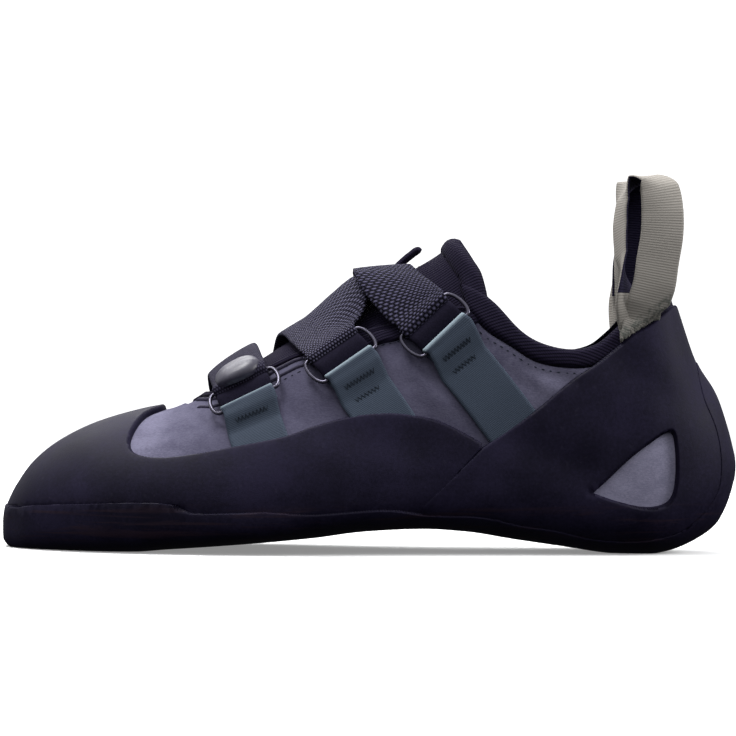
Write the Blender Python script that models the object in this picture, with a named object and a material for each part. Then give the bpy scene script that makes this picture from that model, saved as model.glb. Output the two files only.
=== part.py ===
"""Left climbing shoe, standing empty on its sole.

A hollow lasted upper sits in a rubber outsole, with a toe rand and a heel rand round it.
Three straps over the tongue are threaded through wire rings, held by webbing tabs on the
outer side. The toe points to -X, the outer side of the foot to -Y, and the floor is z = 0.
"""
import math
from collections import namedtuple

import bmesh
import bpy
import numpy as np
from mathutils import Vector

# Driving sizes of the last and of the whole shoe, metres
LENGTH = 0.261
BALL_WIDTH = 0.094
TOE_HEIGHT = 0.053
INSTEP_HEIGHT = 0.0973
HEEL_HEIGHT = 0.0884
COLLAR_HEIGHT = 0.072
TAIL_HEIGHT = 0.050
ARCH_RISE = 0.0089
WIDEST_HEIGHT = 0.017
PRESS = 0.0006

# Thicknesses
GAP = 0.0003
SOLE_THICKNESS = 0.0048
SOLE_WALL = 0.0024
SOLE_STEP = 0.0005
UPPER_WALL = 0.0018
INSOLE_THICKNESS = 0.0016
INSOLE_FRONT = -0.49 * LENGTH
INSOLE_BACK = 0.445 * LENGTH
TONGUE_THICKNESS = 0.0018
WEBBING = 0.0010
STRAP = 0.0016
LOOP_TAPE = 0.0012
FOLD_SAG = 0.0004

# Widths of what is fastened on
TAB_WIDTH = 0.0198
STRAP_WIDTH = 0.0205
LOOP_WIDTH = 0.0150
FLAP_WIDTH = 0.0140
FLAP_ASIDE = 0.0085
RING_WIRE = 0.0014
RING_END = 0.0024
RING_WIDTH = 0.0125
PAD_RISE = 0.0012
PULL_LOOP_HEIGHT = 0.1335

# Fineness of the lofts
STATIONS = 24
CROWN_STEPS = 14
EDGE_STEPS = 8
CROWDING = 0.75
LEAST_SHARE = 0.2
WIRE_SIDES = 6
BEND_STEPS = 6
TAPE_STEP = 0.0050
TAPE_LANDING = 0.0080

# Depths below the rubber's outer face, worked out from the layers
RAND_OUT = SOLE_STEP
RAND_IN = SOLE_WALL
UPPER_OUT = SOLE_WALL + GAP
UPPER_IN = UPPER_OUT + UPPER_WALL
LINED = UPPER_IN + GAP
TONGUE_IN = LINED + TONGUE_THICKNESS
RING_DEPTH = UPPER_OUT - 2 * GAP - FOLD_SAG - RING_WIRE / 2 - STRAP

# One section of the last: where it is along the length, its outer and inner edge as shares
# of the ball width, how far its underside kicks up (of the heel height) and arches (of the
# arch rise), the level of its widest place, its top as a share of the height it follows,
# how far the ridge leans inwards, and how full its crown and its lower edge are.
Section = namedtuple("Section", "at outer inner kick arch wide top follows lean crown edge")
SECTIONS = (
    Section(0.000, 0.080, 0.229, 0.031, 0.00, 0.56, 0.283, TOE_HEIGHT, 0.030, 2.00, 5.0),
    Section(0.006, 0.021, 0.271, 0.014, 0.00, 0.65, 0.349, TOE_HEIGHT, 0.030, 2.00, 5.0),
    Section(0.015, -0.027, 0.303, 0.003, 0.00, 0.76, 0.430, TOE_HEIGHT, 0.030, 2.00, 5.0),
    Section(0.038, -0.133, 0.356, 0.000, 0.00, 0.88, 0.585, TOE_HEIGHT, 0.040, 2.00, 5.0),
    Section(0.077, -0.239, 0.410, 0.000, 0.00, 0.94, 0.738, TOE_HEIGHT, 0.050, 2.00, 5.0),
    Section(0.134, -0.346, 0.457, 0.000, 0.00, 0.97, 0.872, TOE_HEIGHT, 0.060, 2.10, 5.0),
    Section(0.192, -0.410, 0.484, 0.000, 0.04, 1.00, 0.955, TOE_HEIGHT, 0.060, 2.10, 5.0),
    Section(0.230, -0.439, 0.495, 0.000, 0.14, 1.00, 0.996, TOE_HEIGHT, 0.060, 2.10, 5.0),
    Section(0.257, -0.457, 0.500, 0.000, 0.20, 1.00, 1.060, TOE_HEIGHT, 0.060, 2.00, 5.0),
    Section(0.307, -0.484, 0.495, 0.000, 0.32, 1.00, 0.674, INSTEP_HEIGHT, 0.060, 1.80, 5.0),
    Section(0.372, -0.500, 0.468, 0.000, 0.49, 1.00, 0.787, INSTEP_HEIGHT, 0.055, 1.70, 5.0),
    Section(0.429, -0.489, 0.428, 0.000, 0.65, 1.03, 0.884, INSTEP_HEIGHT, 0.050, 1.65, 4.5),
    Section(0.498, -0.452, 0.378, 0.000, 0.90, 1.06, 0.993, INSTEP_HEIGHT, 0.040, 1.60, 4.0),
    Section(0.575, -0.410, 0.340, 0.000, 1.00, 1.12, 1.108, INSTEP_HEIGHT, 0.030, 1.60, 3.8),
    Section(0.632, -0.383, 0.327, 0.000, 0.90, 1.16, 1.213, INSTEP_HEIGHT, 0.020, 1.60, 3.6),
    Section(0.697, -0.351, 0.326, 0.000, 0.60, 1.21, 1.274, INSTEP_HEIGHT, 0.010, 1.70, 3.4),
    Section(0.766, -0.330, 0.332, 0.000, 0.31, 1.26, 1.285, INSTEP_HEIGHT, 0.000, 1.80, 3.2),
    Section(0.835, -0.311, 0.333, 0.000, 0.04, 1.35, 1.223, INSTEP_HEIGHT, 0.000, 1.90, 3.1),
    Section(0.881, -0.293, 0.324, 0.000, 0.00, 1.47, 1.131, INSTEP_HEIGHT, 0.000, 2.00, 3.0),
    Section(0.904, -0.274, 0.309, 0.011, 0.00, 1.56, 1.143, HEEL_HEIGHT, 0.000, 2.00, 2.9),
    Section(0.921, -0.255, 0.290, 0.025, 0.00, 1.62, 1.002, HEEL_HEIGHT, 0.000, 2.00, 2.8),
    Section(0.949, -0.216, 0.253, 0.063, 0.00, 1.71, 0.767, HEEL_HEIGHT, 0.000, 2.00, 2.6),
    Section(0.976, -0.160, 0.197, 0.124, 0.00, 1.78, 0.636, HEEL_HEIGHT, 0.000, 2.00, 2.4),
    Section(0.992, -0.101, 0.138, 0.215, 0.00, 1.82, 0.498, HEEL_HEIGHT, 0.000, 2.00, 2.3),
    Section(1.000, -0.048, 0.085, 0.294, 0.00, 1.82, 0.407, HEEL_HEIGHT, 0.000, 2.00, 2.2),
)

# Lines drawn on the side of the shoe: a share of the length and of the height they follow
Mark = namedtuple("Mark", "at up")
SOLE_LINE = (
    Mark(-0.040, 0.912), Mark(0.019, 0.918), Mark(0.115, 1.000), Mark(0.203, 1.059),
    Mark(0.245, 1.018), Mark(0.276, 0.871), Mark(0.364, 0.912), Mark(0.429, 0.859),
    Mark(0.525, 0.941), Mark(0.582, 0.829), Mark(0.651, 0.794), Mark(0.705, 0.612),
    Mark(0.751, 0.512), Mark(0.789, 0.365), Mark(0.824, 0.294), Mark(0.866, 0.294),
    Mark(0.902, 0.400), Mark(0.927, 0.547), Mark(0.955, 0.924), Mark(0.972, 1.341),
    Mark(0.977, 1.718), Mark(0.976, 2.176), Mark(0.969, 2.659), Mark(0.955, 3.182),
    Mark(0.949, 3.606), Mark(0.946, 4.018),
)
OPENING_LINE = (
    Mark(0.246, 0.800), Mark(0.250, 0.721), Mark(0.270, 0.742), Mark(0.311, 0.767),
    Mark(0.386, 0.908), Mark(0.468, 1.024), Mark(0.543, 1.100), Mark(0.598, 1.151),
    Mark(0.632, 1.171), Mark(0.659, 1.083), Mark(0.691, 1.010), Mark(0.722, 0.941),
    Mark(0.757, 0.912), Mark(0.796, 0.913), Mark(0.824, 0.964), Mark(0.850, 1.029),
    Mark(0.882, 1.099), Mark(0.909, 1.159), Mark(0.960, 1.240),
)
CUFF_TOP = (
    Mark(0.620, 1.329), Mark(0.646, 1.291), Mark(0.671, 1.222), Mark(0.704, 1.094),
    Mark(0.733, 1.031), Mark(0.771, 1.002), Mark(0.805, 1.027), Mark(0.830, 1.097),
    Mark(0.850, 1.167), Mark(0.882, 1.227), Mark(0.909, 1.268), Mark(0.960, 1.300),
)
TOE_RAND_TOP = (
    Mark(0.236, 1.120), Mark(0.225, 1.045), Mark(0.195, 0.965), Mark(0.180, 0.815),
    Mark(0.186, 0.716), Mark(0.209, 0.681), Mark(0.240, 0.682), Mark(0.285, 0.719),
    Mark(0.321, 0.756), Mark(0.389, 0.830), Mark(0.426, 0.903), Mark(0.465, 0.961),
    Mark(0.504, 0.991), Mark(0.543, 0.993), Mark(0.583, 0.958), Mark(0.609, 0.909),
    Mark(0.652, 0.790),
)
HEEL_RAND_TOP = (
    Mark(0.652, 0.423), Mark(0.718, 0.561), Mark(0.771, 0.691), Mark(0.805, 0.760),
    Mark(0.845, 0.854), Mark(0.878, 0.919), Mark(0.903, 0.976), Mark(0.921, 1.000),
    Mark(0.960, 1.020),
)
RAND_SEAM_FOOT = Mark(0.569, 0.183)
HEEL_WINDOW = (
    Mark(0.802, 0.248), Mark(0.823, 0.305), Mark(0.854, 0.391), Mark(0.884, 0.456),
    Mark(0.903, 0.488), Mark(0.914, 0.464), Mark(0.916, 0.307), Mark(0.906, 0.214),
    Mark(0.875, 0.190), Mark(0.834, 0.215),
)
TONGUE_EDGE = (
    Mark(0.238, 0.520), Mark(0.287, 0.583), Mark(0.383, 0.750), Mark(0.467, 0.847),
    Mark(0.556, 0.944), Mark(0.632, 1.056), Mark(0.660, 1.167), Mark(0.654, 1.347),
    Mark(0.640, 1.444), Mark(0.622, 1.549), Mark(0.592, 1.736),
)

# One ring with its tab and strap: the ring's middle on the side of the shoe, the slope of its
# long axis as seen from the side, how far the tab and the strap run from it, and how many
# degrees the strap swings back towards the heel, at the ring and over the rest of its run,
# and how much wider it gets in front and behind where it crosses the ridge, as width shares.
Closure = namedtuple("Closure", "name at up slope tab strap skew veer ahead behind")
CLOSURES = (
    Closure("front", 0.3345, 0.582, 26.0, 0.026, 0.062, 3.0, 8.0, 0.0, 0.0),
    Closure("middle", 0.4632, 0.713, 35.0, 0.032, 0.066, 20.0, 2.0, 0.0, 0.40),
    Closure("upper", 0.5885, 0.822, 44.0, 0.052, 0.076, 18.0, 28.0, 0.20, 0.0),
)
# Where along its run a strap is widest, and over what share of it the widening fades
FLARE_AT = 0.30
FLARE_FADE = 0.26
# How high each strap's middle floats above the rubber's outer face along its run, and how
# much higher its front edge is than its middle
Float = namedtuple("Float", "along out lift")
STRAP_FLOAT = {
    "front": (Float(0.16, 0.0010, 0.0), Float(0.32, 0.0009, 0.0), Float(0.46, 0.0002, 0.0),
              Float(0.62, -0.0006, 0.0), Float(1.00, -0.0011, 0.0)),
    "middle": (Float(0.14, -0.0004, 0.0), Float(0.28, -0.0024, 0.0), Float(0.42, -0.0022, 0.0),
               Float(0.56, -0.0010, 0.0), Float(1.00, -0.0011, 0.0)),
    "upper": (Float(0.13, 0.0010, 0.0), Float(0.30, 0.0000, 0.0030), Float(0.42, 0.0002, 0.0031),
              Float(0.60, -0.0002, 0.0004), Float(1.00, -0.0011, 0.0)),
}

# The free end of the upper strap, standing up over the ridge: shares of the length and of
# the instep height
FLAP_ROUTE = (
    Mark(0.5260, 1.056), Mark(0.5360, 1.058), Mark(0.5450, 1.066), Mark(0.5560, 1.083),
    Mark(0.5660, 1.103),
)

# The pull loop's tape: its middle as shares of the length, of the heel's half width and of
# the loop's height, the way its width swings round the upright and rises, in degrees, and
# the depth at which it lies on the heel, where it does
Tape = namedtuple("Tape", "at across up swing rise depth")
TAPE_ROUTE = (
    Tape(0.8660, 0.00, 0.540, 0, 26, 0.0018), Tape(0.8640, 0.00, 0.598, 5, 22, 0.0018),
    Tape(0.8563, 0.91, 0.662, 26, 10, None), Tape(0.8498, 0.83, 0.712, 52, 4, None),
    Tape(0.8452, 0.73, 0.787, 72, 0, None), Tape(0.8422, 0.66, 0.869, 77, 0, None),
    Tape(0.8444, 0.64, 0.936, 72, 0, None), Tape(0.8582, 0.65, 0.985, 55, 0, None),
    Tape(0.8773, 0.71, 0.992, 32, 0, None), Tape(0.8898, 0.81, 0.966, 14, -2, None),
    Tape(0.8938, 0.90, 0.904, 4, -3, None), Tape(0.8929, 0.96, 0.839, 0, -4, None),
    Tape(0.8872, 1.00, 0.772, 0, 4, None), Tape(0.8828, 1.03, 0.712, 0, 14, None),
    Tape(0.8759, 1.02, 0.662, 0, 22, None), Tape(0.8713, 0.00, 0.605, 0, 25, 0.0003),
    Tape(0.8682, 0.00, 0.540, 0, 26, 0.0003),
)
TAPE_SPREAD = 0.0230
TAPE_SHIFT = 0.0016

REACH = 0.080
SKY = 0.160
DEEP = -0.030
RESOLVE = 13
SEAM_MERGE = 0.000002
FLATNESS = math.radians(2.0)


class Curve:
    """A smooth curve through one column of the section table, with no overshoot."""

    def __init__(self, places, values):
        self.places = np.array(places, dtype=float)
        self.values = np.array(values, dtype=float)
        steps = np.diff(self.places)
        rises = np.diff(self.values) / steps
        slopes = np.zeros(len(self.values))
        slopes[0] = rises[0]
        slopes[-1] = rises[-1]
        for k in range(1, len(rises)):
            if rises[k - 1] * rises[k] > 0:
                before = 2 * steps[k] + steps[k - 1]
                after = steps[k] + 2 * steps[k - 1]
                slopes[k] = (before + after) / (before / rises[k - 1] + after / rises[k])
        self.slopes = slopes

    def __call__(self, x):
        x = np.clip(x, self.places[0], self.places[-1])
        k = np.clip(np.searchsorted(self.places, x) - 1, 0, len(self.places) - 2)
        step = self.places[k + 1] - self.places[k]
        t = (x - self.places[k]) / step
        start = (1 + 2 * t) * (1 - t) ** 2 * self.values[k] + t * (1 - t) ** 2 * step * self.slopes[k]
        end = t * t * (3 - 2 * t) * self.values[k + 1] + t * t * (t - 1) * step * self.slopes[k + 1]
        return start + end


PLACES = [row.at * LENGTH for row in SECTIONS]
OUTER = Curve(PLACES, [-row.outer * BALL_WIDTH for row in SECTIONS])
INNER = Curve(PLACES, [row.inner * BALL_WIDTH for row in SECTIONS])
UNDER = Curve(PLACES, [PRESS - row.kick * HEEL_HEIGHT - row.arch * ARCH_RISE for row in SECTIONS])
TOP = Curve(PLACES, [row.top * row.follows for row in SECTIONS])
WIDE = Curve(PLACES, [row.wide * WIDEST_HEIGHT for row in SECTIONS])
LEAN = Curve(PLACES, [row.lean * BALL_WIDTH for row in SECTIONS])
CROWN = Curve(PLACES, [row.crown for row in SECTIONS])
EDGE = Curve(PLACES, [row.edge for row in SECTIONS])


def set_in(curve, x, depth):
    """The curve's value with every point moved in by depth, as a rolled disc would leave it."""
    if depth == 0:
        return float(curve(x))
    side = np.linspace(-1.0, 1.0, RESOLVE) * abs(depth)
    disc = np.sqrt(np.maximum(depth * depth - side * side, 0))
    if depth > 0:
        return float(np.min(curve(x + side) - disc))
    return float(np.max(curve(x + side) + disc))


class Slice:
    """The last's section at one place along the foot, set in by depth."""

    def __init__(self, x, depth):
        high = set_in(INNER, x, depth)
        low = -set_in(OUTER, x, depth)
        self.x = x
        self.half = (high - low) / 2
        self.middle = (high + low) / 2
        self.top = set_in(TOP, x, depth)
        self.under = -set_in(UNDER, x, depth)
        room = (self.top - self.under) * LEAST_SHARE
        self.wide = min(max(float(WIDE(x)), self.under + room), self.top - room)
        self.lean = float(LEAN(x))
        self.crown = float(CROWN(x))
        self.edge = float(EDGE(x))

    def point(self, turn):
        """The point at a turn in radians: 0 inner side, a quarter the ridge, a half outer."""
        across = math.cos(turn)
        up = math.sin(turn)
        power = 2 / (self.crown if up >= 0 else self.edge)
        rise = math.copysign(abs(up) ** power, up)
        reach = (self.top - self.wide) if up >= 0 else (self.wide - self.under)
        y = self.middle + self.half * math.copysign(abs(across) ** power, across)
        y += self.lean * max(rise, 0) ** 1.5
        return Vector((self.x - LENGTH / 2, y, self.wide + rise * reach))

    def snapped(self, point):
        """The section's point in the same direction from its middle."""
        height = self.top - self.wide
        share = (point.z - self.wide) / height
        y = point.y - self.middle - self.lean * max(share, 0) ** 1.5
        size = (abs(y) / self.half) ** self.crown + abs(share) ** self.crown
        scale = size ** (-1 / self.crown)
        rise = share * scale
        y = self.middle + y * scale + self.lean * max(rise, 0) ** 1.5
        return Vector((point.x, y, self.wide + rise * height))


def snap(point, depth):
    """The nearest place on the form at a depth, for a point beside its upper half."""
    return Slice(point.x + LENGTH / 2, depth).snapped(point)


def outward(point, depth):
    """The form's outward direction at a point on it."""
    small = 0.0004
    here = snap(point, depth)
    middle = Slice(point.x + LENGTH / 2, depth)
    arm = Vector((0, here.y - middle.middle, here.z - middle.wide))
    turned = Vector((0, -arm.z, arm.y)).normalized() * small
    along = snap(here + Vector((small, 0, 0)), depth) - here
    around = snap(here + turned, depth) - here
    direction = along.cross(around).normalized()
    return direction if direction.dot(arm) > 0 else -direction


def turns():
    """Angles round a section: even over the crown, and again under the edge."""
    crown = [math.pi * k / CROWN_STEPS for k in range(CROWN_STEPS)]
    edge = [math.pi + math.pi * k / EDGE_STEPS for k in range(EDGE_STEPS)]
    return crown + edge


def mesh_object(name, points, faces):
    """A new object from points and faces, with its faces turned out."""
    mesh = bpy.data.meshes.new(name)
    mesh.from_pydata([tuple(p) for p in points], [], faces)
    shape = bmesh.new()
    shape.from_mesh(mesh)
    bmesh.ops.recalc_face_normals(shape, faces=shape.faces)
    bmesh.ops.triangulate(shape, faces=shape.faces, quad_method="SHORT_EDGE")
    shape.to_mesh(mesh)
    shape.free()
    piece = bpy.data.objects.new(name, mesh)
    bpy.context.scene.collection.objects.link(piece)
    return piece


def ring_faces(first, second):
    """Quads between two rings of the same number of points."""
    count = len(first)
    return [(first[k], first[(k + 1) % count], second[(k + 1) % count], second[k])
            for k in range(count)]


def form(depth):
    """The whole closed last, set in by depth from the rubber's outer face."""
    points = []
    rings = []
    angles = turns()
    for k in range(STATIONS + 1):
        share = k / STATIONS
        share -= CROWDING * math.sin(2 * math.pi * share) / (2 * math.pi)
        cut = Slice(depth + share * (LENGTH - 2 * depth), depth)
        rings.append(list(range(len(points), len(points) + len(angles))))
        points.extend(cut.point(angle) for angle in angles)
    faces = [face for a, b in zip(rings, rings[1:]) for face in ring_faces(a, b)]
    for ring in (rings[0], rings[-1]):
        middle = sum((points[k] for k in ring), Vector()) / len(ring)
        points.append(middle)
        faces.extend((ring[k - 1], ring[k], len(points) - 1) for k in range(len(ring)))
    return mesh_object("form", points, faces)


def drawn(marks, height, fine=2):
    """A smooth side line through marks, in metres, as (x, z) pairs."""
    ends = [(m.at * LENGTH - LENGTH / 2, m.up * height) for m in marks]
    line = []
    for k in range(len(ends) - 1):
        a = np.array(ends[max(k - 1, 0)])
        b = np.array(ends[k])
        c = np.array(ends[k + 1])
        d = np.array(ends[min(k + 2, len(ends) - 1)])
        for step in range(fine):
            t = step / fine
            line.append(tuple(0.5 * (2 * b + (c - a) * t + (2 * a - 5 * b + 4 * c - d) * t * t
                                     + (3 * b - a - 3 * c + d) * t ** 3)))
    return line + [ends[-1]]


def grown(line, distance, closed=True):
    """An outline with every point moved to its right-hand side by distance."""
    count = len(line)
    moved = []
    for k in range(count):
        before = np.array(line[k - 1] if closed or k else line[k])
        after = np.array(line[(k + 1) % count] if closed or k < count - 1 else line[k])
        way = after - before
        way = way / max(np.hypot(*way), 1e-9)
        moved.append((line[k][0] + way[1] * distance, line[k][1] - way[0] * distance))
    return moved


def side_block(outline, near=-REACH, far=REACH):
    """A block whose side view is the outline, from one y to another."""
    count = len(outline)
    points = [(x, near, z) for x, z in outline] + [(x, far, z) for x, z in outline]
    faces = ring_faces(list(range(count)), list(range(count, 2 * count)))
    faces += [tuple(range(count)), tuple(range(2 * count - 1, count - 1, -1))]
    return mesh_object("block", points, faces)


def carve(body, tool, operation):
    """Cut, join or keep what a tool shares with a body, then drop the tool."""
    step = body.modifiers.new(operation, "BOOLEAN")
    step.operation = operation
    step.solver = "EXACT"
    step.use_self = True
    step.object = tool
    bpy.context.view_layer.update()
    made = bpy.data.meshes.new_from_object(body.evaluated_get(bpy.context.evaluated_depsgraph_get()))
    body.modifiers.clear()
    body.data = made
    bpy.data.objects.remove(tool)
    return body


def shell(outside, inside):
    """The layer between two depths of the last."""
    return carve(form(outside), form(inside), "DIFFERENCE")


def finished(piece, name, colour, roughness, metallic=0.0):
    """Clean a piece's mesh, name it and give it its own material."""
    shape = bmesh.new()
    shape.from_mesh(piece.data)
    bmesh.ops.remove_doubles(shape, verts=shape.verts, dist=SEAM_MERGE)
    bmesh.ops.dissolve_degenerate(shape, edges=shape.edges, dist=SEAM_MERGE / 2)
    bmesh.ops.dissolve_limit(shape, angle_limit=FLATNESS, verts=shape.verts, edges=shape.edges)
    bmesh.ops.triangulate(shape, faces=shape.faces)
    shape.to_mesh(piece.data)
    shape.free()
    piece.name = name
    piece.data.name = name
    paint = bpy.data.materials.new(name)
    paint.use_nodes = True
    surface = paint.node_tree.nodes["Principled BSDF"]
    surface.inputs["Base Color"].default_value = (*colour, 1.0)
    surface.inputs["Roughness"].default_value = roughness
    surface.inputs["Metallic"].default_value = metallic
    piece.data.materials.clear()
    piece.data.materials.append(paint)
    piece.data.shade_smooth()
    piece.data.set_sharp_from_angle(angle=math.radians(35))
    return piece


def sole_zone(spare=0.0):
    """What lies below the outsole's top edge, and behind its strip up the heel."""
    line = drawn(SOLE_LINE, WIDEST_HEIGHT)
    line = grown(line, -spare, closed=False)
    top = line[-1][1] + spare
    behind = [(line[-1][0], top), (LENGTH, top), (LENGTH, DEEP), (line[0][0], DEEP)]
    line = line[:-1]
    return side_block(line + behind)


def seam():
    """The slanted seam between the two rands, from its foot to its head."""
    foot = (RAND_SEAM_FOOT.at * LENGTH - LENGTH / 2, RAND_SEAM_FOOT.up * HEEL_HEIGHT)
    head = (HEEL_RAND_TOP[0].at * LENGTH - LENGTH / 2, HEEL_RAND_TOP[0].up * HEEL_HEIGHT)
    slope = (head[0] - foot[0]) / (head[1] - foot[1])
    return (foot[0] + slope * (DEEP - foot[1]), DEEP), head


def toe_zone(spare=0.0):
    """What the toe rand covers, as seen from the side."""
    top = drawn(TOE_RAND_TOP, TAIL_HEIGHT)
    foot, head = seam()
    line = [(top[0][0], SKY)] + top + [head, foot]
    line = grown(line, -spare, closed=False)
    return side_block(line + [(-LENGTH, DEEP), (-LENGTH, SKY)])


def heel_zone(spare=0.0):
    """What the heel rand covers, as seen from the side."""
    foot, head = seam()
    line = [foot] + drawn(HEEL_RAND_TOP, HEEL_HEIGHT) + [(LENGTH, HEEL_HEIGHT * 1.03)]
    line[0] = (line[0][0] + GAP, line[0][1])
    line[1] = (head[0] + GAP, head[1])
    line = grown(line, -spare, closed=False)
    return side_block(line + [(LENGTH, DEEP)])


def above(line, spare=0.0):
    """Everything above a side line."""
    line = grown(line, spare, closed=False)
    return side_block(line + [(line[-1][0], SKY), (line[0][0], SKY)])


def sole_floor(spare):
    """The line of the outsole's inside floor, along the whole foot."""
    count = STATIONS
    places = [LENGTH * k / count for k in range(count + 1)]
    line = [(x - LENGTH / 2, -float(UNDER(x)) + SOLE_THICKNESS + spare) for x in places]
    line[0] = (-LENGTH, line[0][1])
    line[-1] = (LENGTH, line[-1][1])
    return line


def below_floor():
    """Everything under the floor, which the sole's forefoot and heel are pressed flat on."""
    return side_block([(-LENGTH, 0.0), (LENGTH, 0.0), (LENGTH, DEEP), (-LENGTH, DEEP)])


def make_outsole():
    """Rubber under the foot, open inside, with flat spots on the floor."""
    sole = carve(form(0.0), sole_zone(), "INTERSECT")
    sole = carve(sole, below_floor(), "DIFFERENCE")
    hollow = carve(form(SOLE_WALL), above(sole_floor(0.0)), "INTERSECT")
    return finished(carve(sole, hollow, "DIFFERENCE"), "outsole", (0.030, 0.028, 0.040), 0.75)


def make_upper():
    """The lasted shell, cut open at the collar and throat and underneath."""
    upper = carve(shell(UPPER_OUT, UPPER_IN), above(sole_floor(GAP)), "INTERSECT")
    upper = carve(upper, above(drawn(OPENING_LINE, COLLAR_HEIGHT)), "DIFFERENCE")
    return finished(upper, "upper", (0.105, 0.100, 0.135), 0.85)


def make_insole():
    """A thin board on the sole's inside floor, short of the toe and the heel."""
    front = [p for p in sole_floor(GAP) if INSOLE_FRONT < p[0] < INSOLE_BACK]
    lid = [(x, z + INSOLE_THICKNESS) for x, z in reversed(front)]
    board = carve(form(LINED), side_block(front + lid), "INTERSECT")
    return finished(board, "insole", (0.060, 0.055, 0.070), 0.9)


def make_toe_rand():
    """Rubber drawn up over the toe box, with its raised tail on the side."""
    rand = carve(shell(RAND_OUT, RAND_IN), toe_zone(), "INTERSECT")
    rand = carve(rand, sole_zone(GAP), "DIFFERENCE")
    return finished(rand, "toe_rand", (0.026, 0.024, 0.036), 0.7)


def make_heel_rand():
    """Rubber round the heel, with a window on each side and the sole's strip behind."""
    rand = carve(shell(RAND_OUT, RAND_IN), heel_zone(), "INTERSECT")
    rand = carve(rand, sole_zone(GAP), "DIFFERENCE")
    window = drawn(HEEL_WINDOW + (HEEL_WINDOW[0],), HEEL_HEIGHT)[:-1]
    rand = carve(rand, side_block(window), "DIFFERENCE")
    return finished(rand, "heel_rand", (0.028, 0.026, 0.040), 0.7)


def make_cuff():
    """The knitted band that carries the shell's own wall on above its top line."""
    lower = drawn(OPENING_LINE[9:], COLLAR_HEIGHT)
    lower = grown(lower, -GAP, closed=False)
    upper = drawn(CUFF_TOP, COLLAR_HEIGHT)
    front = (OPENING_LINE[8].at * LENGTH - LENGTH / 2, COLLAR_HEIGHT * OPENING_LINE[8].up * 1.01)
    outline = [front] + lower + list(reversed(upper))
    band = carve(shell(UPPER_OUT, UPPER_IN), side_block(outline), "INTERSECT")
    return finished(band, "collar_cuff", (0.020, 0.018, 0.030), 0.95)


def make_tongue():
    """A knitted layer inside the throat that stands up above the collar."""
    edge = drawn(TONGUE_EDGE, COLLAR_HEIGHT)
    outline = edge + [(edge[-1][0], SKY), (edge[0][0], SKY)]
    tongue = carve(shell(LINED, TONGUE_IN), side_block(outline), "INTERSECT")
    return finished(tongue, "tongue", (0.022, 0.020, 0.032), 0.95)


class Frame:
    """One cross line of a band: its middle, its width's direction and its outer side."""

    def __init__(self, middle, across, out, depth=None, lift=0.0, hug=0.0, flare=(0.0, 0.0)):
        self.middle = middle
        self.across = across
        self.out = out
        self.depth = depth
        self.lift = lift
        self.hug = hug
        self.flare = flare

    def place(self, share, width):
        """The band's middle layer and its outward direction, a share of the width away."""
        share *= 1 + 2 * (self.flare[1] if share > 0 else self.flare[0])
        straight = self.middle + self.across * (share * width)
        if self.depth is None or self.hug == 0:
            return straight, self.out
        depth = self.depth + self.lift * 2 * share
        laid = snap(straight, depth)
        way = outward(laid, depth)
        if way.dot(self.out) < 0:
            way = -way
        return straight.lerp(laid, self.hug), self.out.lerp(way, self.hug).normalized()


def band(frames, width, thickness, bulge=None, across_steps=3):
    """A closed ribbon along frames, as a solid with its own thickness."""
    over = []
    under = []
    for k, frame in enumerate(frames):
        for step in range(across_steps + 1):
            share = step / across_steps - 0.5
            middle, out = frame.place(share, width)
            more = bulge(k / (len(frames) - 1), share) if bulge else 0.0
            over.append(middle + out * (thickness / 2 + more))
            under.append(middle - out * (thickness / 2))
    row = across_steps + 1
    last = len(over) - row
    faces = []
    for k in range(len(frames) - 1):
        for step in range(across_steps):
            a = k * row + step
            faces.append((a, a + 1, a + row + 1, a + row))
            faces.append(tuple(len(over) + v for v in (a, a + row, a + row + 1, a + 1)))
    rim = [step for step in range(row)] + [k * row + row - 1 for k in range(1, len(frames))]
    rim += [last + step for step in range(row - 2, -1, -1)]
    rim += [k * row for k in range(len(frames) - 2, 0, -1)]
    faces += ring_faces(rim, [v + len(over) for v in rim])
    return mesh_object("band", over + under, faces)


def beside(x, z, depth, side=-1):
    """The place on one side of the form at a share-free length and height."""
    cut = Slice(x, depth)
    share = (z - cut.wide) / (cut.top - cut.wide)
    reach = cut.half * (1 - abs(share) ** cut.crown) ** (1 / cut.crown)
    y = cut.middle + side * reach + cut.lean * max(share, 0) ** 1.5
    return Vector((x - LENGTH / 2, y, z))


class Seat:
    """Where a ring lies: its middle, its long axis, its upward side and its outer side."""

    def __init__(self, row):
        self.middle = beside(row.at * LENGTH, row.up * INSTEP_HEIGHT, RING_DEPTH)
        self.out = outward(self.middle, RING_DEPTH)
        along = (Vector((1, 0, 0)) - self.out * self.out.x).normalized()
        climb = self.out.cross(along)
        slope = math.tan(math.radians(row.slope))
        share = (slope * along.x - along.z) / (climb.z - slope * climb.x)
        self.axis = (along + climb * share).normalized()
        self.up = self.out.cross(self.axis)

    def bar(self, way):
        """The middle of the bar on one side of the ring."""
        return self.middle + way * (RING_WIDTH - RING_WIRE) / 2


def flared(along, row):
    """How much wider a strap is in front and behind, a share of its run from the ring."""
    swell = max(0.0, 1 - ((along - FLARE_AT) / FLARE_FADE) ** 2) ** 2
    return row.ahead * swell, row.behind * swell


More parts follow.
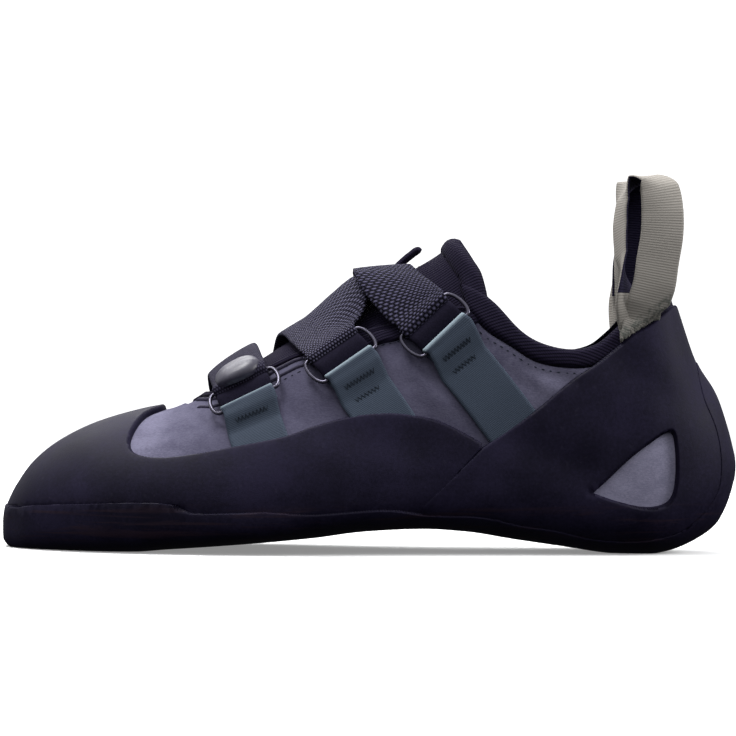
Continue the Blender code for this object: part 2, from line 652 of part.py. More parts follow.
def folded(seat, way, sheet, length, floats, row=None, leg=0.0038):
    """Frames of a band folded round a ring's bar and laid over the shoe."""
    skew = row.skew if row else 0.0
    veer = row.veer if row else 0.0
    bar = seat.bar(way)
    radius = RING_WIRE / 2 + GAP + sheet / 2
    frames = [Frame(bar + way * leg - seat.out * radius, seat.axis, -seat.out)]
    for degrees in (-90, -135, -180, -225, -270):
        angle = math.radians(degrees)
        arm = way * math.cos(angle) + seat.out * math.sin(angle)
        frames.append(Frame(bar + arm * radius, seat.axis, arm))
    rest = UPPER_OUT - GAP - sheet / 2
    stops_at = [(0.0022, RING_DEPTH - radius * 0.85, 0.0, 0.3),
            (leg + GAP, RING_DEPTH - radius * 0.45, 0.0, 0.6)]
    if floats:
        stops_at += [(spot.along * length, -spot.out, spot.lift, 1.0) for spot in floats]
    else:
        stops_at += [(TAPE_LANDING, rest, 0.0, 1.0), (length, rest, 0.0, 1.0)]
    here = snap(bar, rest)
    out = seat.out
    heading = way
    travelled = 0.0
    step = TAPE_STEP
    stops, depths, lifts, hugs = ([spot[k] for spot in stops_at] for k in range(4))
    marks = [stops[0], stops[1]]
    while marks[-1] < length - step * 0.6:
        marks.append(marks[-1] + step)
    marks[-1] = length
    for k, mark in enumerate(marks):
        turn = math.radians(veer * (mark - travelled) / length + (skew / 3 if k < 3 else 0))
        heading = heading * math.cos(turn) + heading.cross(out) * math.sin(turn)
        ahead = snap(here + heading * (mark - travelled), rest)
        out = outward(ahead, rest)
        heading = (ahead - here) - out * (ahead - here).dot(out)
        heading = heading.normalized()
        here = ahead
        travelled = mark
        depth = float(np.interp(mark, stops, depths))
        frames.append(Frame(snap(here, depth), out.cross(heading).normalized() * math.copysign(
            1, out.cross(heading).dot(frames[-1].across)), out, depth,
            float(np.interp(mark, stops, lifts)), float(np.interp(mark, stops, hugs)),
            flared(mark / length, row) if row else (0.0, 0.0)))
    return frames


def wire_ring(seat):
    """A closed loop of wire: two straight bars with rounded ends."""
    straight = STRAP_WIDTH / 2 + GAP
    half = (RING_WIDTH - RING_WIRE) / 2
    route = []
    for side in (1, -1):
        for step in range(BEND_STEPS + 1):
            angle = math.pi * (0.5 - step / BEND_STEPS)
            route.append((side * (straight + RING_END * math.cos(angle)), side * half * math.sin(angle)))
    middle = [seat.middle + seat.axis * a + seat.up * b for a, b in route]
    points = []
    rings = []
    sides = WIRE_SIDES
    for k, here in enumerate(middle):
        way = (middle[(k + 1) % len(middle)] - middle[k - 1]).normalized()
        flat = way.cross(seat.out)
        rings.append(list(range(len(points), len(points) + sides)))
        for corner in range(sides):
            angle = 2 * math.pi * corner / sides
            points.append(here + (flat * math.cos(angle) + seat.out * math.sin(angle)) * RING_WIRE / 2)
    faces = [face for k in range(len(rings)) for face in ring_faces(rings[k - 1], rings[k])]
    return mesh_object("ring", points, faces)


def pad_bulge(along, share):
    """How much the front strap's rubber pad stands above its webbing."""
    reach = max(0.0, 1 - ((along - 0.48) / 0.26) ** 2)
    return PAD_RISE * math.sqrt(reach) * math.sqrt(max(0.0, 1 - (1.9 * share) ** 2))


def make_closure(row):
    """One ring, the tab that holds it and the strap threaded through it."""
    seat = Seat(row)
    finished(wire_ring(seat), "ring_" + row.name, (0.35, 0.35, 0.38), 0.3, 1.0)
    tab = band(folded(seat, -seat.up, WEBBING, row.tab, None), TAB_WIDTH, WEBBING)
    tab = carve(tab, toe_zone(GAP), "DIFFERENCE")
    tab = carve(tab, heel_zone(GAP), "DIFFERENCE")
    finished(tab, "tab_" + row.name, (0.035, 0.058, 0.072), 0.85)
    bulge = pad_bulge if row.name == "front" else None
    frames = folded(seat, seat.up, STRAP, row.strap, STRAP_FLOAT[row.name], row)
    finished(band(frames, STRAP_WIDTH, STRAP, bulge), "strap_" + row.name, (0.045, 0.040, 0.060), 0.9)


def make_flap():
    """The upper strap's free end, standing up over the tongue."""
    route = [Vector((m.at * LENGTH - LENGTH / 2, FLAP_ASIDE, m.up * INSTEP_HEIGHT))
             for m in FLAP_ROUTE]
    frames = []
    for k, here in enumerate(route):
        way = (route[min(k + 1, len(route) - 1)] - route[max(k - 1, 0)]).normalized()
        frames.append(Frame(here, Vector((0, 1, 0)), Vector((-way.z, 0, way.x))))
    flap = band(frames, FLAP_WIDTH, STRAP, across_steps=1)
    finished(flap, "strap_end", (0.020, 0.018, 0.028), 0.95)


def make_pull_loop(name, side):
    """A tape folded into a loop, sewn on beside the heel's top edge."""
    centre = float(INNER(0.86 * LENGTH) - OUTER(0.86 * LENGTH)) / 2
    shift = TAPE_SHIFT if side > 0 else 0.0
    middles = []
    for row in TAPE_ROUTE:
        z = row.up * PULL_LOOP_HEIGHT
        if row.depth is None:
            y = centre + side * row.across * TAPE_SPREAD
            middles.append(Vector((row.at * LENGTH - shift - LENGTH / 2, y, z)))
        else:
            middles.append(beside(row.at * LENGTH - shift, z, row.depth, side))
    frames = []
    for k, row in enumerate(TAPE_ROUTE):
        here = middles[k]
        way = (middles[min(k + 1, len(middles) - 1)] - middles[max(k - 1, 0)]).normalized()
        swing = math.radians(row.swing)
        rise = math.radians(row.rise)
        across = Vector((math.cos(swing) * math.cos(rise), -side * math.sin(swing), math.sin(rise)))
        across = (across - way * across.dot(way)).normalized()
        frames.append(Frame(here, across, way.cross(across), row.depth,
                            0.0, 0.0 if row.depth is None else 1.0))
    loop = band(frames, LOOP_WIDTH, LOOP_TAPE, across_steps=2)
    loop = carve(loop, heel_zone(GAP), "DIFFERENCE")
    finished(loop, name, (0.30, 0.30, 0.26), 0.9)


def clear_scene():
    """Remove whatever the file opened with."""
    for item in list(bpy.data.objects):
        bpy.data.objects.remove(item)


def main():
    """Build every piece of the shoe."""
    clear_scene()
    make_outsole()
    make_upper()
    make_insole()
    make_toe_rand()
    make_heel_rand()
    make_cuff()
    make_tongue()
    for row in CLOSURES:
        make_closure(row)
    make_flap()
    make_pull_loop("pull_loop_lateral", -1)
    make_pull_loop("pull_loop_medial", 1)


main()
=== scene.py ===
"""Climbing shoe on a white floor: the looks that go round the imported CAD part.

The last's section table below is the one that the part is built from. Every panel is a patch of
that last between lines drawn on the side of the shoe, so it fits the CAD with no placing by eye.
The toe points to -X, the outer side of the foot to -Y, and the floor is z = 0. Sizes are metres.
"""
from __future__ import annotations

import logging
import math
import sys
from dataclasses import dataclass, field
from enum import Enum
from typing import Callable, Iterable, NamedTuple, Sequence

import bmesh
import bpy
import numpy as np
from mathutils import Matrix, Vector
from mathutils.geometry import delaunay_2d_cdt

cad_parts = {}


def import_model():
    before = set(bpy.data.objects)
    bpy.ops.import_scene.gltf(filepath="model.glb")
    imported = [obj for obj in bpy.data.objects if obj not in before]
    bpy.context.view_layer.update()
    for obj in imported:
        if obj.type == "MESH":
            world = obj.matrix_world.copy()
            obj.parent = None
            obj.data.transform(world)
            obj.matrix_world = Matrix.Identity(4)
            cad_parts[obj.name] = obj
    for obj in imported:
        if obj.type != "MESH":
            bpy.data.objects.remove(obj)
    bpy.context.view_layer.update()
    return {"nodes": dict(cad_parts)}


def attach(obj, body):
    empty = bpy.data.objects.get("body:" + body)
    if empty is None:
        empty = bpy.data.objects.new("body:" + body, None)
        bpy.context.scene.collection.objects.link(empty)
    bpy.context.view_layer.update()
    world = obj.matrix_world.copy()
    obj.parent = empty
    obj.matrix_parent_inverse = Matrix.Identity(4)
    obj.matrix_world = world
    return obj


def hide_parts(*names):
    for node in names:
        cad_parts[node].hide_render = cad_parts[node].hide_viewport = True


log = logging.getLogger("scene")

# Driving sizes of the last and of the whole shoe
LENGTH = 0.261
BALL_WIDTH = 0.094
TOE_HEIGHT = 0.053
INSTEP_HEIGHT = 0.0973
HEEL_HEIGHT = 0.0884
COLLAR_HEIGHT = 0.072
TAIL_HEIGHT = 0.050
ARCH_RISE = 0.0089
WIDEST_HEIGHT = 0.017
PRESS = 0.0006

# Layers, as depths below the rubber's outer face
GAP = 0.0003
SOLE_WALL = 0.0024
RAND_OUT = 0.0005
UPPER_OUT = SOLE_WALL + GAP
UPPER_WALL = 0.0018
UPPER_IN = UPPER_OUT + UPPER_WALL
LINED = UPPER_IN + GAP
TONGUE_THICKNESS = 0.0018
WEBBING = 0.0010
STRAP = 0.0016
LOOP_TAPE = 0.0012
FOLD_SAG = 0.0004
RING_WIRE = 0.0014
RING_DEPTH = UPPER_OUT - 2 * GAP - FOLD_SAG - RING_WIRE / 2 - STRAP

# Widths of what is fastened on
TAB_WIDTH = 0.0198
STRAP_WIDTH = 0.0205
LOOP_WIDTH = 0.0150
FLAP_WIDTH = 0.0140
FLAP_ASIDE = 0.0085
RING_END = 0.0024
RING_WIDTH = 0.0125
PAD_RISE = 0.0014
PULL_LOOP_HEIGHT = 0.1335
TAPE_SPREAD = 0.0230
FLAP_THICKNESS = 0.0026
BODY = "root"

# How finely the looks are laid out
FINE_STEP = 0.00025
EDGE_STEP = 0.0010
EDGE_ROWS = (0.10, 0.35, 0.68, 1.0)
BATCH = 2000
SMALL_TURN = 0.004
WELD = 2e-6
PER_MARK = 8
HIGH_ABOVE = 0.12


class Section(NamedTuple):
    """One section of the last, in shares of the sizes above."""

    at: float
    outer: float
    inner: float
    kick: float
    arch: float
    wide: float
    top: float
    follows: float
    lean: float
    crown: float
    edge: float


class Mark(NamedTuple):
    """A place on the side of the shoe: shares of the length and of a height."""

    at: float
    up: float


SECTIONS = (
    Section(0.000, 0.080, 0.229, 0.031, 0.00, 0.56, 0.283, TOE_HEIGHT, 0.030, 2.00, 5.0),
    Section(0.006, 0.021, 0.271, 0.014, 0.00, 0.65, 0.349, TOE_HEIGHT, 0.030, 2.00, 5.0),
    Section(0.015, -0.027, 0.303, 0.003, 0.00, 0.76, 0.430, TOE_HEIGHT, 0.030, 2.00, 5.0),
    Section(0.038, -0.133, 0.356, 0.000, 0.00, 0.88, 0.585, TOE_HEIGHT, 0.040, 2.00, 5.0),
    Section(0.077, -0.239, 0.410, 0.000, 0.00, 0.94, 0.738, TOE_HEIGHT, 0.050, 2.00, 5.0),
    Section(0.134, -0.346, 0.457, 0.000, 0.00, 0.97, 0.872, TOE_HEIGHT, 0.060, 2.10, 5.0),
    Section(0.192, -0.410, 0.484, 0.000, 0.04, 1.00, 0.955, TOE_HEIGHT, 0.060, 2.10, 5.0),
    Section(0.230, -0.439, 0.495, 0.000, 0.14, 1.00, 0.996, TOE_HEIGHT, 0.060, 2.10, 5.0),
    Section(0.257, -0.457, 0.500, 0.000, 0.20, 1.00, 1.060, TOE_HEIGHT, 0.060, 2.00, 5.0),
    Section(0.307, -0.484, 0.495, 0.000, 0.32, 1.00, 0.674, INSTEP_HEIGHT, 0.060, 1.80, 5.0),
    Section(0.372, -0.500, 0.468, 0.000, 0.49, 1.00, 0.787, INSTEP_HEIGHT, 0.055, 1.70, 5.0),
    Section(0.429, -0.489, 0.428, 0.000, 0.65, 1.03, 0.884, INSTEP_HEIGHT, 0.050, 1.65, 4.5),
    Section(0.498, -0.452, 0.378, 0.000, 0.90, 1.06, 0.993, INSTEP_HEIGHT, 0.040, 1.60, 4.0),
    Section(0.575, -0.410, 0.340, 0.000, 1.00, 1.12, 1.108, INSTEP_HEIGHT, 0.030, 1.60, 3.8),
    Section(0.632, -0.383, 0.327, 0.000, 0.90, 1.16, 1.213, INSTEP_HEIGHT, 0.020, 1.60, 3.6),
    Section(0.697, -0.351, 0.326, 0.000, 0.60, 1.21, 1.274, INSTEP_HEIGHT, 0.010, 1.70, 3.4),
    Section(0.766, -0.330, 0.332, 0.000, 0.31, 1.26, 1.285, INSTEP_HEIGHT, 0.000, 1.80, 3.2),
    Section(0.835, -0.311, 0.333, 0.000, 0.04, 1.35, 1.223, INSTEP_HEIGHT, 0.000, 1.90, 3.1),
    Section(0.881, -0.293, 0.324, 0.000, 0.00, 1.47, 1.131, INSTEP_HEIGHT, 0.000, 2.00, 3.0),
    Section(0.904, -0.274, 0.309, 0.011, 0.00, 1.56, 1.143, HEEL_HEIGHT, 0.000, 2.00, 2.9),
    Section(0.921, -0.255, 0.290, 0.025, 0.00, 1.62, 1.002, HEEL_HEIGHT, 0.000, 2.00, 2.8),
    Section(0.949, -0.216, 0.253, 0.063, 0.00, 1.71, 0.767, HEEL_HEIGHT, 0.000, 2.00, 2.6),
    Section(0.976, -0.160, 0.197, 0.124, 0.00, 1.78, 0.636, HEEL_HEIGHT, 0.000, 2.00, 2.4),
    Section(0.992, -0.101, 0.138, 0.215, 0.00, 1.82, 0.498, HEEL_HEIGHT, 0.000, 2.00, 2.3),
    Section(1.000, -0.048, 0.085, 0.294, 0.00, 1.82, 0.407, HEEL_HEIGHT, 0.000, 2.00, 2.2),
)

# Lines drawn on the side of the shoe
SOLE_LINE = (
    Mark(-0.040, 0.912), Mark(0.019, 0.918), Mark(0.115, 1.000), Mark(0.203, 1.059),
    Mark(0.245, 1.018), Mark(0.276, 0.871), Mark(0.364, 0.912), Mark(0.429, 0.859),
    Mark(0.525, 0.941), Mark(0.582, 0.829), Mark(0.651, 0.794), Mark(0.705, 0.612),
    Mark(0.751, 0.512), Mark(0.789, 0.365), Mark(0.824, 0.294), Mark(0.866, 0.294),
    Mark(0.902, 0.400), Mark(0.927, 0.547), Mark(0.955, 0.924), Mark(0.972, 1.341),
    Mark(0.977, 1.718), Mark(0.976, 2.176), Mark(0.969, 2.659), Mark(0.955, 3.182),
    Mark(0.949, 3.606), Mark(0.946, 4.018),
)
OPENING_LINE = (
    Mark(0.246, 0.800), Mark(0.250, 0.721), Mark(0.270, 0.742), Mark(0.311, 0.767),
    Mark(0.386, 0.908), Mark(0.468, 1.024), Mark(0.543, 1.100), Mark(0.598, 1.151),
    Mark(0.632, 1.171), Mark(0.659, 1.083), Mark(0.691, 1.010), Mark(0.722, 0.941),
    Mark(0.757, 0.912), Mark(0.796, 0.913), Mark(0.824, 0.964), Mark(0.850, 1.029),
    Mark(0.882, 1.099), Mark(0.909, 1.159), Mark(0.960, 1.240),
)
CUFF_TOP = (
    Mark(0.620, 1.329), Mark(0.646, 1.291), Mark(0.671, 1.222), Mark(0.704, 1.094),
    Mark(0.733, 1.031), Mark(0.771, 1.002), Mark(0.805, 1.027), Mark(0.830, 1.097),
    Mark(0.850, 1.167), Mark(0.882, 1.227), Mark(0.909, 1.268), Mark(0.960, 1.300),
)
TOE_RAND_TOP = (
    Mark(0.236, 1.120), Mark(0.225, 1.045), Mark(0.195, 0.965), Mark(0.180, 0.815),
    Mark(0.186, 0.716), Mark(0.209, 0.681), Mark(0.240, 0.682), Mark(0.285, 0.719),
    Mark(0.321, 0.756), Mark(0.389, 0.830), Mark(0.426, 0.903), Mark(0.465, 0.961),
    Mark(0.504, 0.991), Mark(0.543, 0.993), Mark(0.583, 0.958), Mark(0.609, 0.909),
    Mark(0.652, 0.790),
)
HEEL_RAND_TOP = (
    Mark(0.652, 0.423), Mark(0.718, 0.561), Mark(0.771, 0.691), Mark(0.805, 0.760),
    Mark(0.845, 0.854), Mark(0.878, 0.919), Mark(0.903, 0.976), Mark(0.921, 1.000),
    Mark(0.960, 1.020),
)
RAND_SEAM_FOOT = Mark(0.569, 0.183)
HEEL_WINDOW = (
    Mark(0.802, 0.248), Mark(0.823, 0.305), Mark(0.854, 0.391), Mark(0.884, 0.456),
    Mark(0.903, 0.488), Mark(0.914, 0.464), Mark(0.916, 0.307), Mark(0.906, 0.214),
    Mark(0.875, 0.190), Mark(0.834, 0.215),
)
TONGUE_EDGE = (
    Mark(0.238, 0.520), Mark(0.287, 0.583), Mark(0.383, 0.750), Mark(0.467, 0.847),
    Mark(0.556, 0.944), Mark(0.632, 1.056), Mark(0.660, 1.167), Mark(0.654, 1.347),
    Mark(0.640, 1.444), Mark(0.622, 1.549), Mark(0.592, 1.736),
)
# The hooked free end of the upper strap
FLAP_HOOK = (
    Mark(0.5340, 1.026), Mark(0.5420, 1.048), Mark(0.5500, 1.068), Mark(0.5580, 1.085),
    Mark(0.5630, 1.096), Mark(0.5670, 1.100), Mark(0.5695, 1.092),
)
# The gathered fold of knit at the front of the tongue's top, in metres
TONGUE_FOLD = (
    (0.0170, 0.1005), (0.0230, 0.1046), (0.0275, 0.1085), (0.0300, 0.1300), (0.0140, 0.1300),
)


class Closure(NamedTuple):
    """One ring with its tab and strap, as the part's closure table has it."""

    name: str
    at: float
    up: float
    slope: float
    tab: float
    strap: float
    skew: float
    veer: float
    ahead: float
    behind: float


CLOSURES = (
    Closure("front", 0.3345, 0.582, 26.0, 0.026, 0.062, 3.0, 8.0, 0.0, 0.0),
    Closure("middle", 0.4632, 0.713, 35.0, 0.032, 0.066, 20.0, 2.0, 0.0, 0.56),
    Closure("upper", 0.5885, 0.822, 44.0, 0.052, 0.076, 18.0, 28.0, 0.30, 0.0),
)
FLARE_AT = 0.29
FLARE_FADE = 0.30


class Float(NamedTuple):
    """How high a strap's middle floats at a share of its run, and its front edge's lift."""

    along: float
    out: float
    lift: float


STRAP_FLOAT = {
    "front": (Float(0.16, 0.0010, 0.0), Float(0.32, 0.0009, 0.0), Float(0.46, 0.0002, 0.0),
              Float(0.62, -0.0006, 0.0), Float(1.00, -0.0011, 0.0)),
    "middle": (Float(0.14, -0.0002, -0.0006), Float(0.28, -0.0018, -0.0022),
               Float(0.42, -0.0014, -0.0026), Float(0.56, -0.0008, -0.0010),
               Float(1.00, -0.0011, 0.0)),
    "upper": (Float(0.13, 0.0012, 0.0014), Float(0.30, 0.0010, 0.0042), Float(0.42, 0.0008, 0.0042),
              Float(0.60, 0.0002, 0.0012), Float(1.00, -0.0011, 0.0)),
}


class Tape(NamedTuple):
    """One place along a pull loop: its middle, its width's swing and rise, and its depth."""

    at: float
    across: float
    up: float
    swing: float
    rise: float
    depth: float | None


TAPE_ROUTE = (
    Tape(0.8660, 0.00, 0.540, 0, 26, 0.0018), Tape(0.8640, 0.00, 0.598, 8, 22, 0.0018),
    Tape(0.8535, 0.91, 0.662, 38, 10, None), Tape(0.8460, 0.83, 0.712, 74, 4, None),
    Tape(0.8400, 0.73, 0.787, 100, 0, None), Tape(0.8388, 0.66, 0.869, 103, 0, None),
    Tape(0.8430, 0.63, 0.936, 99, 0, None), Tape(0.8570, 0.64, 0.985, 62, 0, None),
    Tape(0.8773, 0.71, 0.992, 32, 0, None), Tape(0.8898, 0.81, 0.966, 14, -2, None),
    Tape(0.8938, 0.90, 0.904, 4, -3, None), Tape(0.8929, 0.96, 0.839, 0, -4, None),
    Tape(0.8872, 1.00, 0.772, 0, 4, None), Tape(0.8828, 1.03, 0.712, 0, 14, None),
    Tape(0.8752, 1.02, 0.662, 0, 22, None), Tape(0.8700, 0.00, 0.605, 0, 25, 0.0002),
    Tape(0.8660, 0.00, 0.530, 0, 26, 0.0003),
)
# How far each place of the far loop lies in front of the near one's, in metres
FAR_AHEAD = (0.0, 0.0, -0.0010, -0.0010, -0.0010, -0.0010, -0.0005, 0.0005, 0.0020, 0.0035, 0.0048,
             0.0050, 0.0050, 0.0040, 0.0020, 0.0, 0.0)
FAR_SWING = 90.0
# Below this share of its height both faces of the tape are pale
PALE_BELOW = 0.69


class Side(Enum):
    """The two sides of the foot, by the sign of Y."""

    OUTER = -1
    INNER = 1


class Curve:
    """A smooth curve through one column of the section table, with no overshoot."""

    def __init__(self, places: Sequence[float], values: Sequence[float]) -> None:
        """Work out the curve's slope at each of its points.

        Args:
            places: the lengths from the toe, rising.
            values: the value at each of them.
        """
        self.places = np.array(places, dtype=float)
        self.values = np.array(values, dtype=float)
        steps = np.diff(self.places)
        rises = np.diff(self.values) / steps
        slopes = np.zeros(len(self.values))
        slopes[0] = rises[0]
        slopes[-1] = rises[-1]
        for k in range(1, len(rises)):
            if rises[k - 1] * rises[k] > 0:
                before = 2 * steps[k] + steps[k - 1]
                after = steps[k] + 2 * steps[k - 1]
                slopes[k] = (before + after) / (before / rises[k - 1] + after / rises[k])
        self.slopes = slopes

    def __call__(self, x: np.ndarray | float) -> np.ndarray | float:
        """The curve's value at lengths from the toe.

        Args:
            x: one length or many, held within the curve's ends.

        Returns:
            As many values.
        """
        x = np.clip(x, self.places[0], self.places[-1])
        k = np.clip(np.searchsorted(self.places, x) - 1, 0, len(self.places) - 2)
        step = self.places[k + 1] - self.places[k]
        t = (x - self.places[k]) / step
        start = (1 + 2 * t) * (1 - t) ** 2 * self.values[k]
        start += t * (1 - t) ** 2 * step * self.slopes[k]
        end = t * t * (3 - 2 * t) * self.values[k + 1]
        end += t * t * (t - 1) * step * self.slopes[k + 1]
        return start + end


PLACES = [row.at * LENGTH for row in SECTIONS]
OUTER = Curve(PLACES, [-row.outer * BALL_WIDTH for row in SECTIONS])
INNER = Curve(PLACES, [row.inner * BALL_WIDTH for row in SECTIONS])
UNDER = Curve(PLACES, [PRESS - row.kick * HEEL_HEIGHT - row.arch * ARCH_RISE for row in SECTIONS])
TOP = Curve(PLACES, [row.top * row.follows for row in SECTIONS])
WIDE = Curve(PLACES, [row.wide * WIDEST_HEIGHT for row in SECTIONS])
LEAN = Curve(PLACES, [row.lean * BALL_WIDTH for row in SECTIONS])
CROWN = Curve(PLACES, [row.crown for row in SECTIONS])
EDGE = Curve(PLACES, [row.edge for row in SECTIONS])
RESOLVE = 13
LEAST_SHARE = 0.2


def set_in(curve: Curve, x: np.ndarray, depth: float) -> np.ndarray:
    """The curve's values with every point moved in by depth, as a rolled disc leaves it.

    Args:
        curve: the curve.
        x: the lengths from the toe.
        depth: how far in, below nought for outwards.

    Returns:
        A value for each length.
    """
    x = np.atleast_1d(np.asarray(x, dtype=float))
    if depth == 0:
        return curve(x)
    side = np.linspace(-1.0, 1.0, RESOLVE) * abs(depth)
    disc = np.sqrt(np.maximum(depth * depth - side * side, 0))
    values = curve(x[:, None] + side)
    if depth > 0:
        return np.min(values - disc, axis=1)
    return np.max(values + disc, axis=1)


class Slice:
    """The last's section at one place along the foot, set in by depth."""

    def __init__(self, x: float, depth: float) -> None:
        """Measure the section.

        Args:
            x: the length from the toe.
            depth: how far the layer lies below the outer face.
        """
        high = float(set_in(INNER, x, depth)[0])
        low = -float(set_in(OUTER, x, depth)[0])
        self.half = (high - low) / 2
        self.middle = (high + low) / 2
        self.top = float(set_in(TOP, x, depth)[0])
        self.under = -float(set_in(UNDER, x, depth)[0])
        room = (self.top - self.under) * LEAST_SHARE
        self.wide = min(max(float(WIDE(x)), self.under + room), self.top - room)
        self.lean = float(LEAN(x))
        self.crown = float(CROWN(x))

    def snapped(self, point: Vector) -> Vector:
        """The section's point in the same direction from its middle.

        Args:
            point: a point near the section.

        Returns:
            The point on it.
        """
        height = self.top - self.wide
        share = (point.z - self.wide) / height
        y = point.y - self.middle - self.lean * max(share, 0) ** 1.5
        size = (abs(y) / self.half) ** self.crown + abs(share) ** self.crown
        scale = size ** (-1 / self.crown)
        rise = share * scale
        y = self.middle + y * scale + self.lean * max(rise, 0) ** 1.5
        return Vector((point.x, y, self.wide + rise * height))


def snap(point: Vector, depth: float) -> Vector:
    """The nearest place on the form at a depth, for a point beside its upper half."""
    return Slice(point.x + LENGTH / 2, depth).snapped(point)


def outward(point: Vector, depth: float) -> Vector:
    """The form's outward direction at a point on it.

    Args:
        point: a point on the form.
        depth: the depth of its layer.

    Returns:
        A direction of unit length.
    """
    small = 0.0004
    here = snap(point, depth)
    cut = Slice(point.x + LENGTH / 2, depth)
    arm = Vector((0, here.y - cut.middle, here.z - cut.wide))
    turned = Vector((0, -arm.z, arm.y)).normalized() * small
    along = snap(here + Vector((small, 0, 0)), depth) - here
    around = snap(here + turned, depth) - here
    direction = along.cross(around).normalized()
    return direction if direction.dot(arm) > 0 else -direction


def beside(x: float, z: float, depth: float, side: Side = Side.OUTER) -> Vector:
    """The place on one side of the form at a length from the toe and a height.

    Args:
        x: the length from the toe.
        z: the height above the floor.
        depth: the depth of the layer.
        side: the side of the foot.

    Returns:
        The place on the layer.
    """
    cut = Slice(x, depth)
    share = min(max((z - cut.wide) / (cut.top - cut.wide), -1.0), 1.0)
    reach = cut.half * (1 - abs(share) ** cut.crown) ** (1 / cut.crown)
    y = cut.middle + side.value * reach + cut.lean * max(share, 0) ** 1.5
    return Vector((x - LENGTH / 2, y, z))


def drawn(marks: Sequence[Mark], height: float) -> list[tuple[float, float]]:
    """A smooth side line through marks, as (x, z) pairs.

    Args:
        marks: the marks, in order.
        height: what their shares up are of.

    Returns:
        The line's places.
    """
    ends = [(m.at * LENGTH - LENGTH / 2, m.up * height) for m in marks]
    line = []
    for k in range(len(ends) - 1):
        a = np.array(ends[max(k - 1, 0)])
        b = np.array(ends[k])
        c = np.array(ends[k + 1])
        d = np.array(ends[min(k + 2, len(ends) - 1)])
        for step in range(PER_MARK):
            t = step / PER_MARK
            line.append(tuple(0.5 * (2 * b + (c - a) * t + (2 * a - 5 * b + 4 * c - d) * t * t
                                     + (3 * b - a - 3 * c + d) * t ** 3)))
    return line + [ends[-1]]


def grown(line: Sequence, distance: float, closed: bool = False) -> list[tuple[float, float]]:
    """A line with every point moved to its right-hand side by distance.

    Args:
        line: the line's places.
        distance: how far to move them.
        closed: whether the line's end meets its start.

    Returns:
        The moved places.
    """
    count = len(line)
    moved = []
    for k in range(count):
        before = np.array(line[k - 1] if closed or k else line[k])
        after = np.array(line[(k + 1) % count] if closed or k < count - 1 else line[k])
        way = after - before
        way = way / max(np.hypot(*way), 1e-9)
        moved.append((line[k][0] + way[1] * distance, line[k][1] - way[0] * distance))
    return moved


def sampled(line: Sequence, step: float, closed: bool = False) -> list[tuple[float, float]]:
    """A line with points added so that none is further than step from the next.

    Args:
        line: the line's places.
        step: the longest step allowed.
        closed: whether the line's end meets its start.

    Returns:
        The closer places.
    """
    points = []
    ends = list(line) + ([line[0]] if closed else [])
    for a, b in zip(ends, ends[1:]):
        parts = max(1, math.ceil(math.dist(a, b) / step))
        points.extend((a[0] + (b[0] - a[0]) * k / parts, a[1] + (b[1] - a[1]) * k / parts)
                      for k in range(parts))
    return points if closed else points + [ends[-1]]


class Trough(NamedTuple):
    """A soft crease between two marks (share of length, height in metres) on one side."""

    start: tuple[float, float]
    end: tuple[float, float]
    width: float
    depth: float
    side: Side


TROUGHS: tuple[Trough, ...] = tuple(
    Trough(start, end, width, depth, side)
    for side in Side
    for start, end, width, depth in (
        ((0.262, 0.0490), (0.292, 0.0425), 0.0022, 0.0006),
        ((0.282, 0.0515), (0.312, 0.0455), 0.0020, 0.0005),
        ((0.372, 0.0600), (0.402, 0.0480), 0.0028, 0.0006),
        ((0.402, 0.0660), (0.422, 0.0560), 0.0024, -0.0004),
        ((0.500, 0.0740), (0.524, 0.0590), 0.0030, 0.0007),
        ((0.530, 0.0780), (0.556, 0.0600), 0.0026, 0.0005),
        ((0.548, 0.0660), (0.600, 0.0520), 0.0036, -0.0006),
        ((0.640, 0.0760), (0.712, 0.0600), 0.0040, 0.0007),
        ((0.668, 0.0700), (0.742, 0.0585), 0.0030, -0.0005),
        ((0.712, 0.0655), (0.772, 0.0610), 0.0026, 0.0005),
        ((0.440, 0.0460), (0.560, 0.0380), 0.0080, 0.0007),
        ((0.700, 0.0400), (0.790, 0.0300), 0.0070, 0.0007),
        ((0.830, 0.0700), (0.900, 0.0560), 0.0070, 0.0006),
    )
)


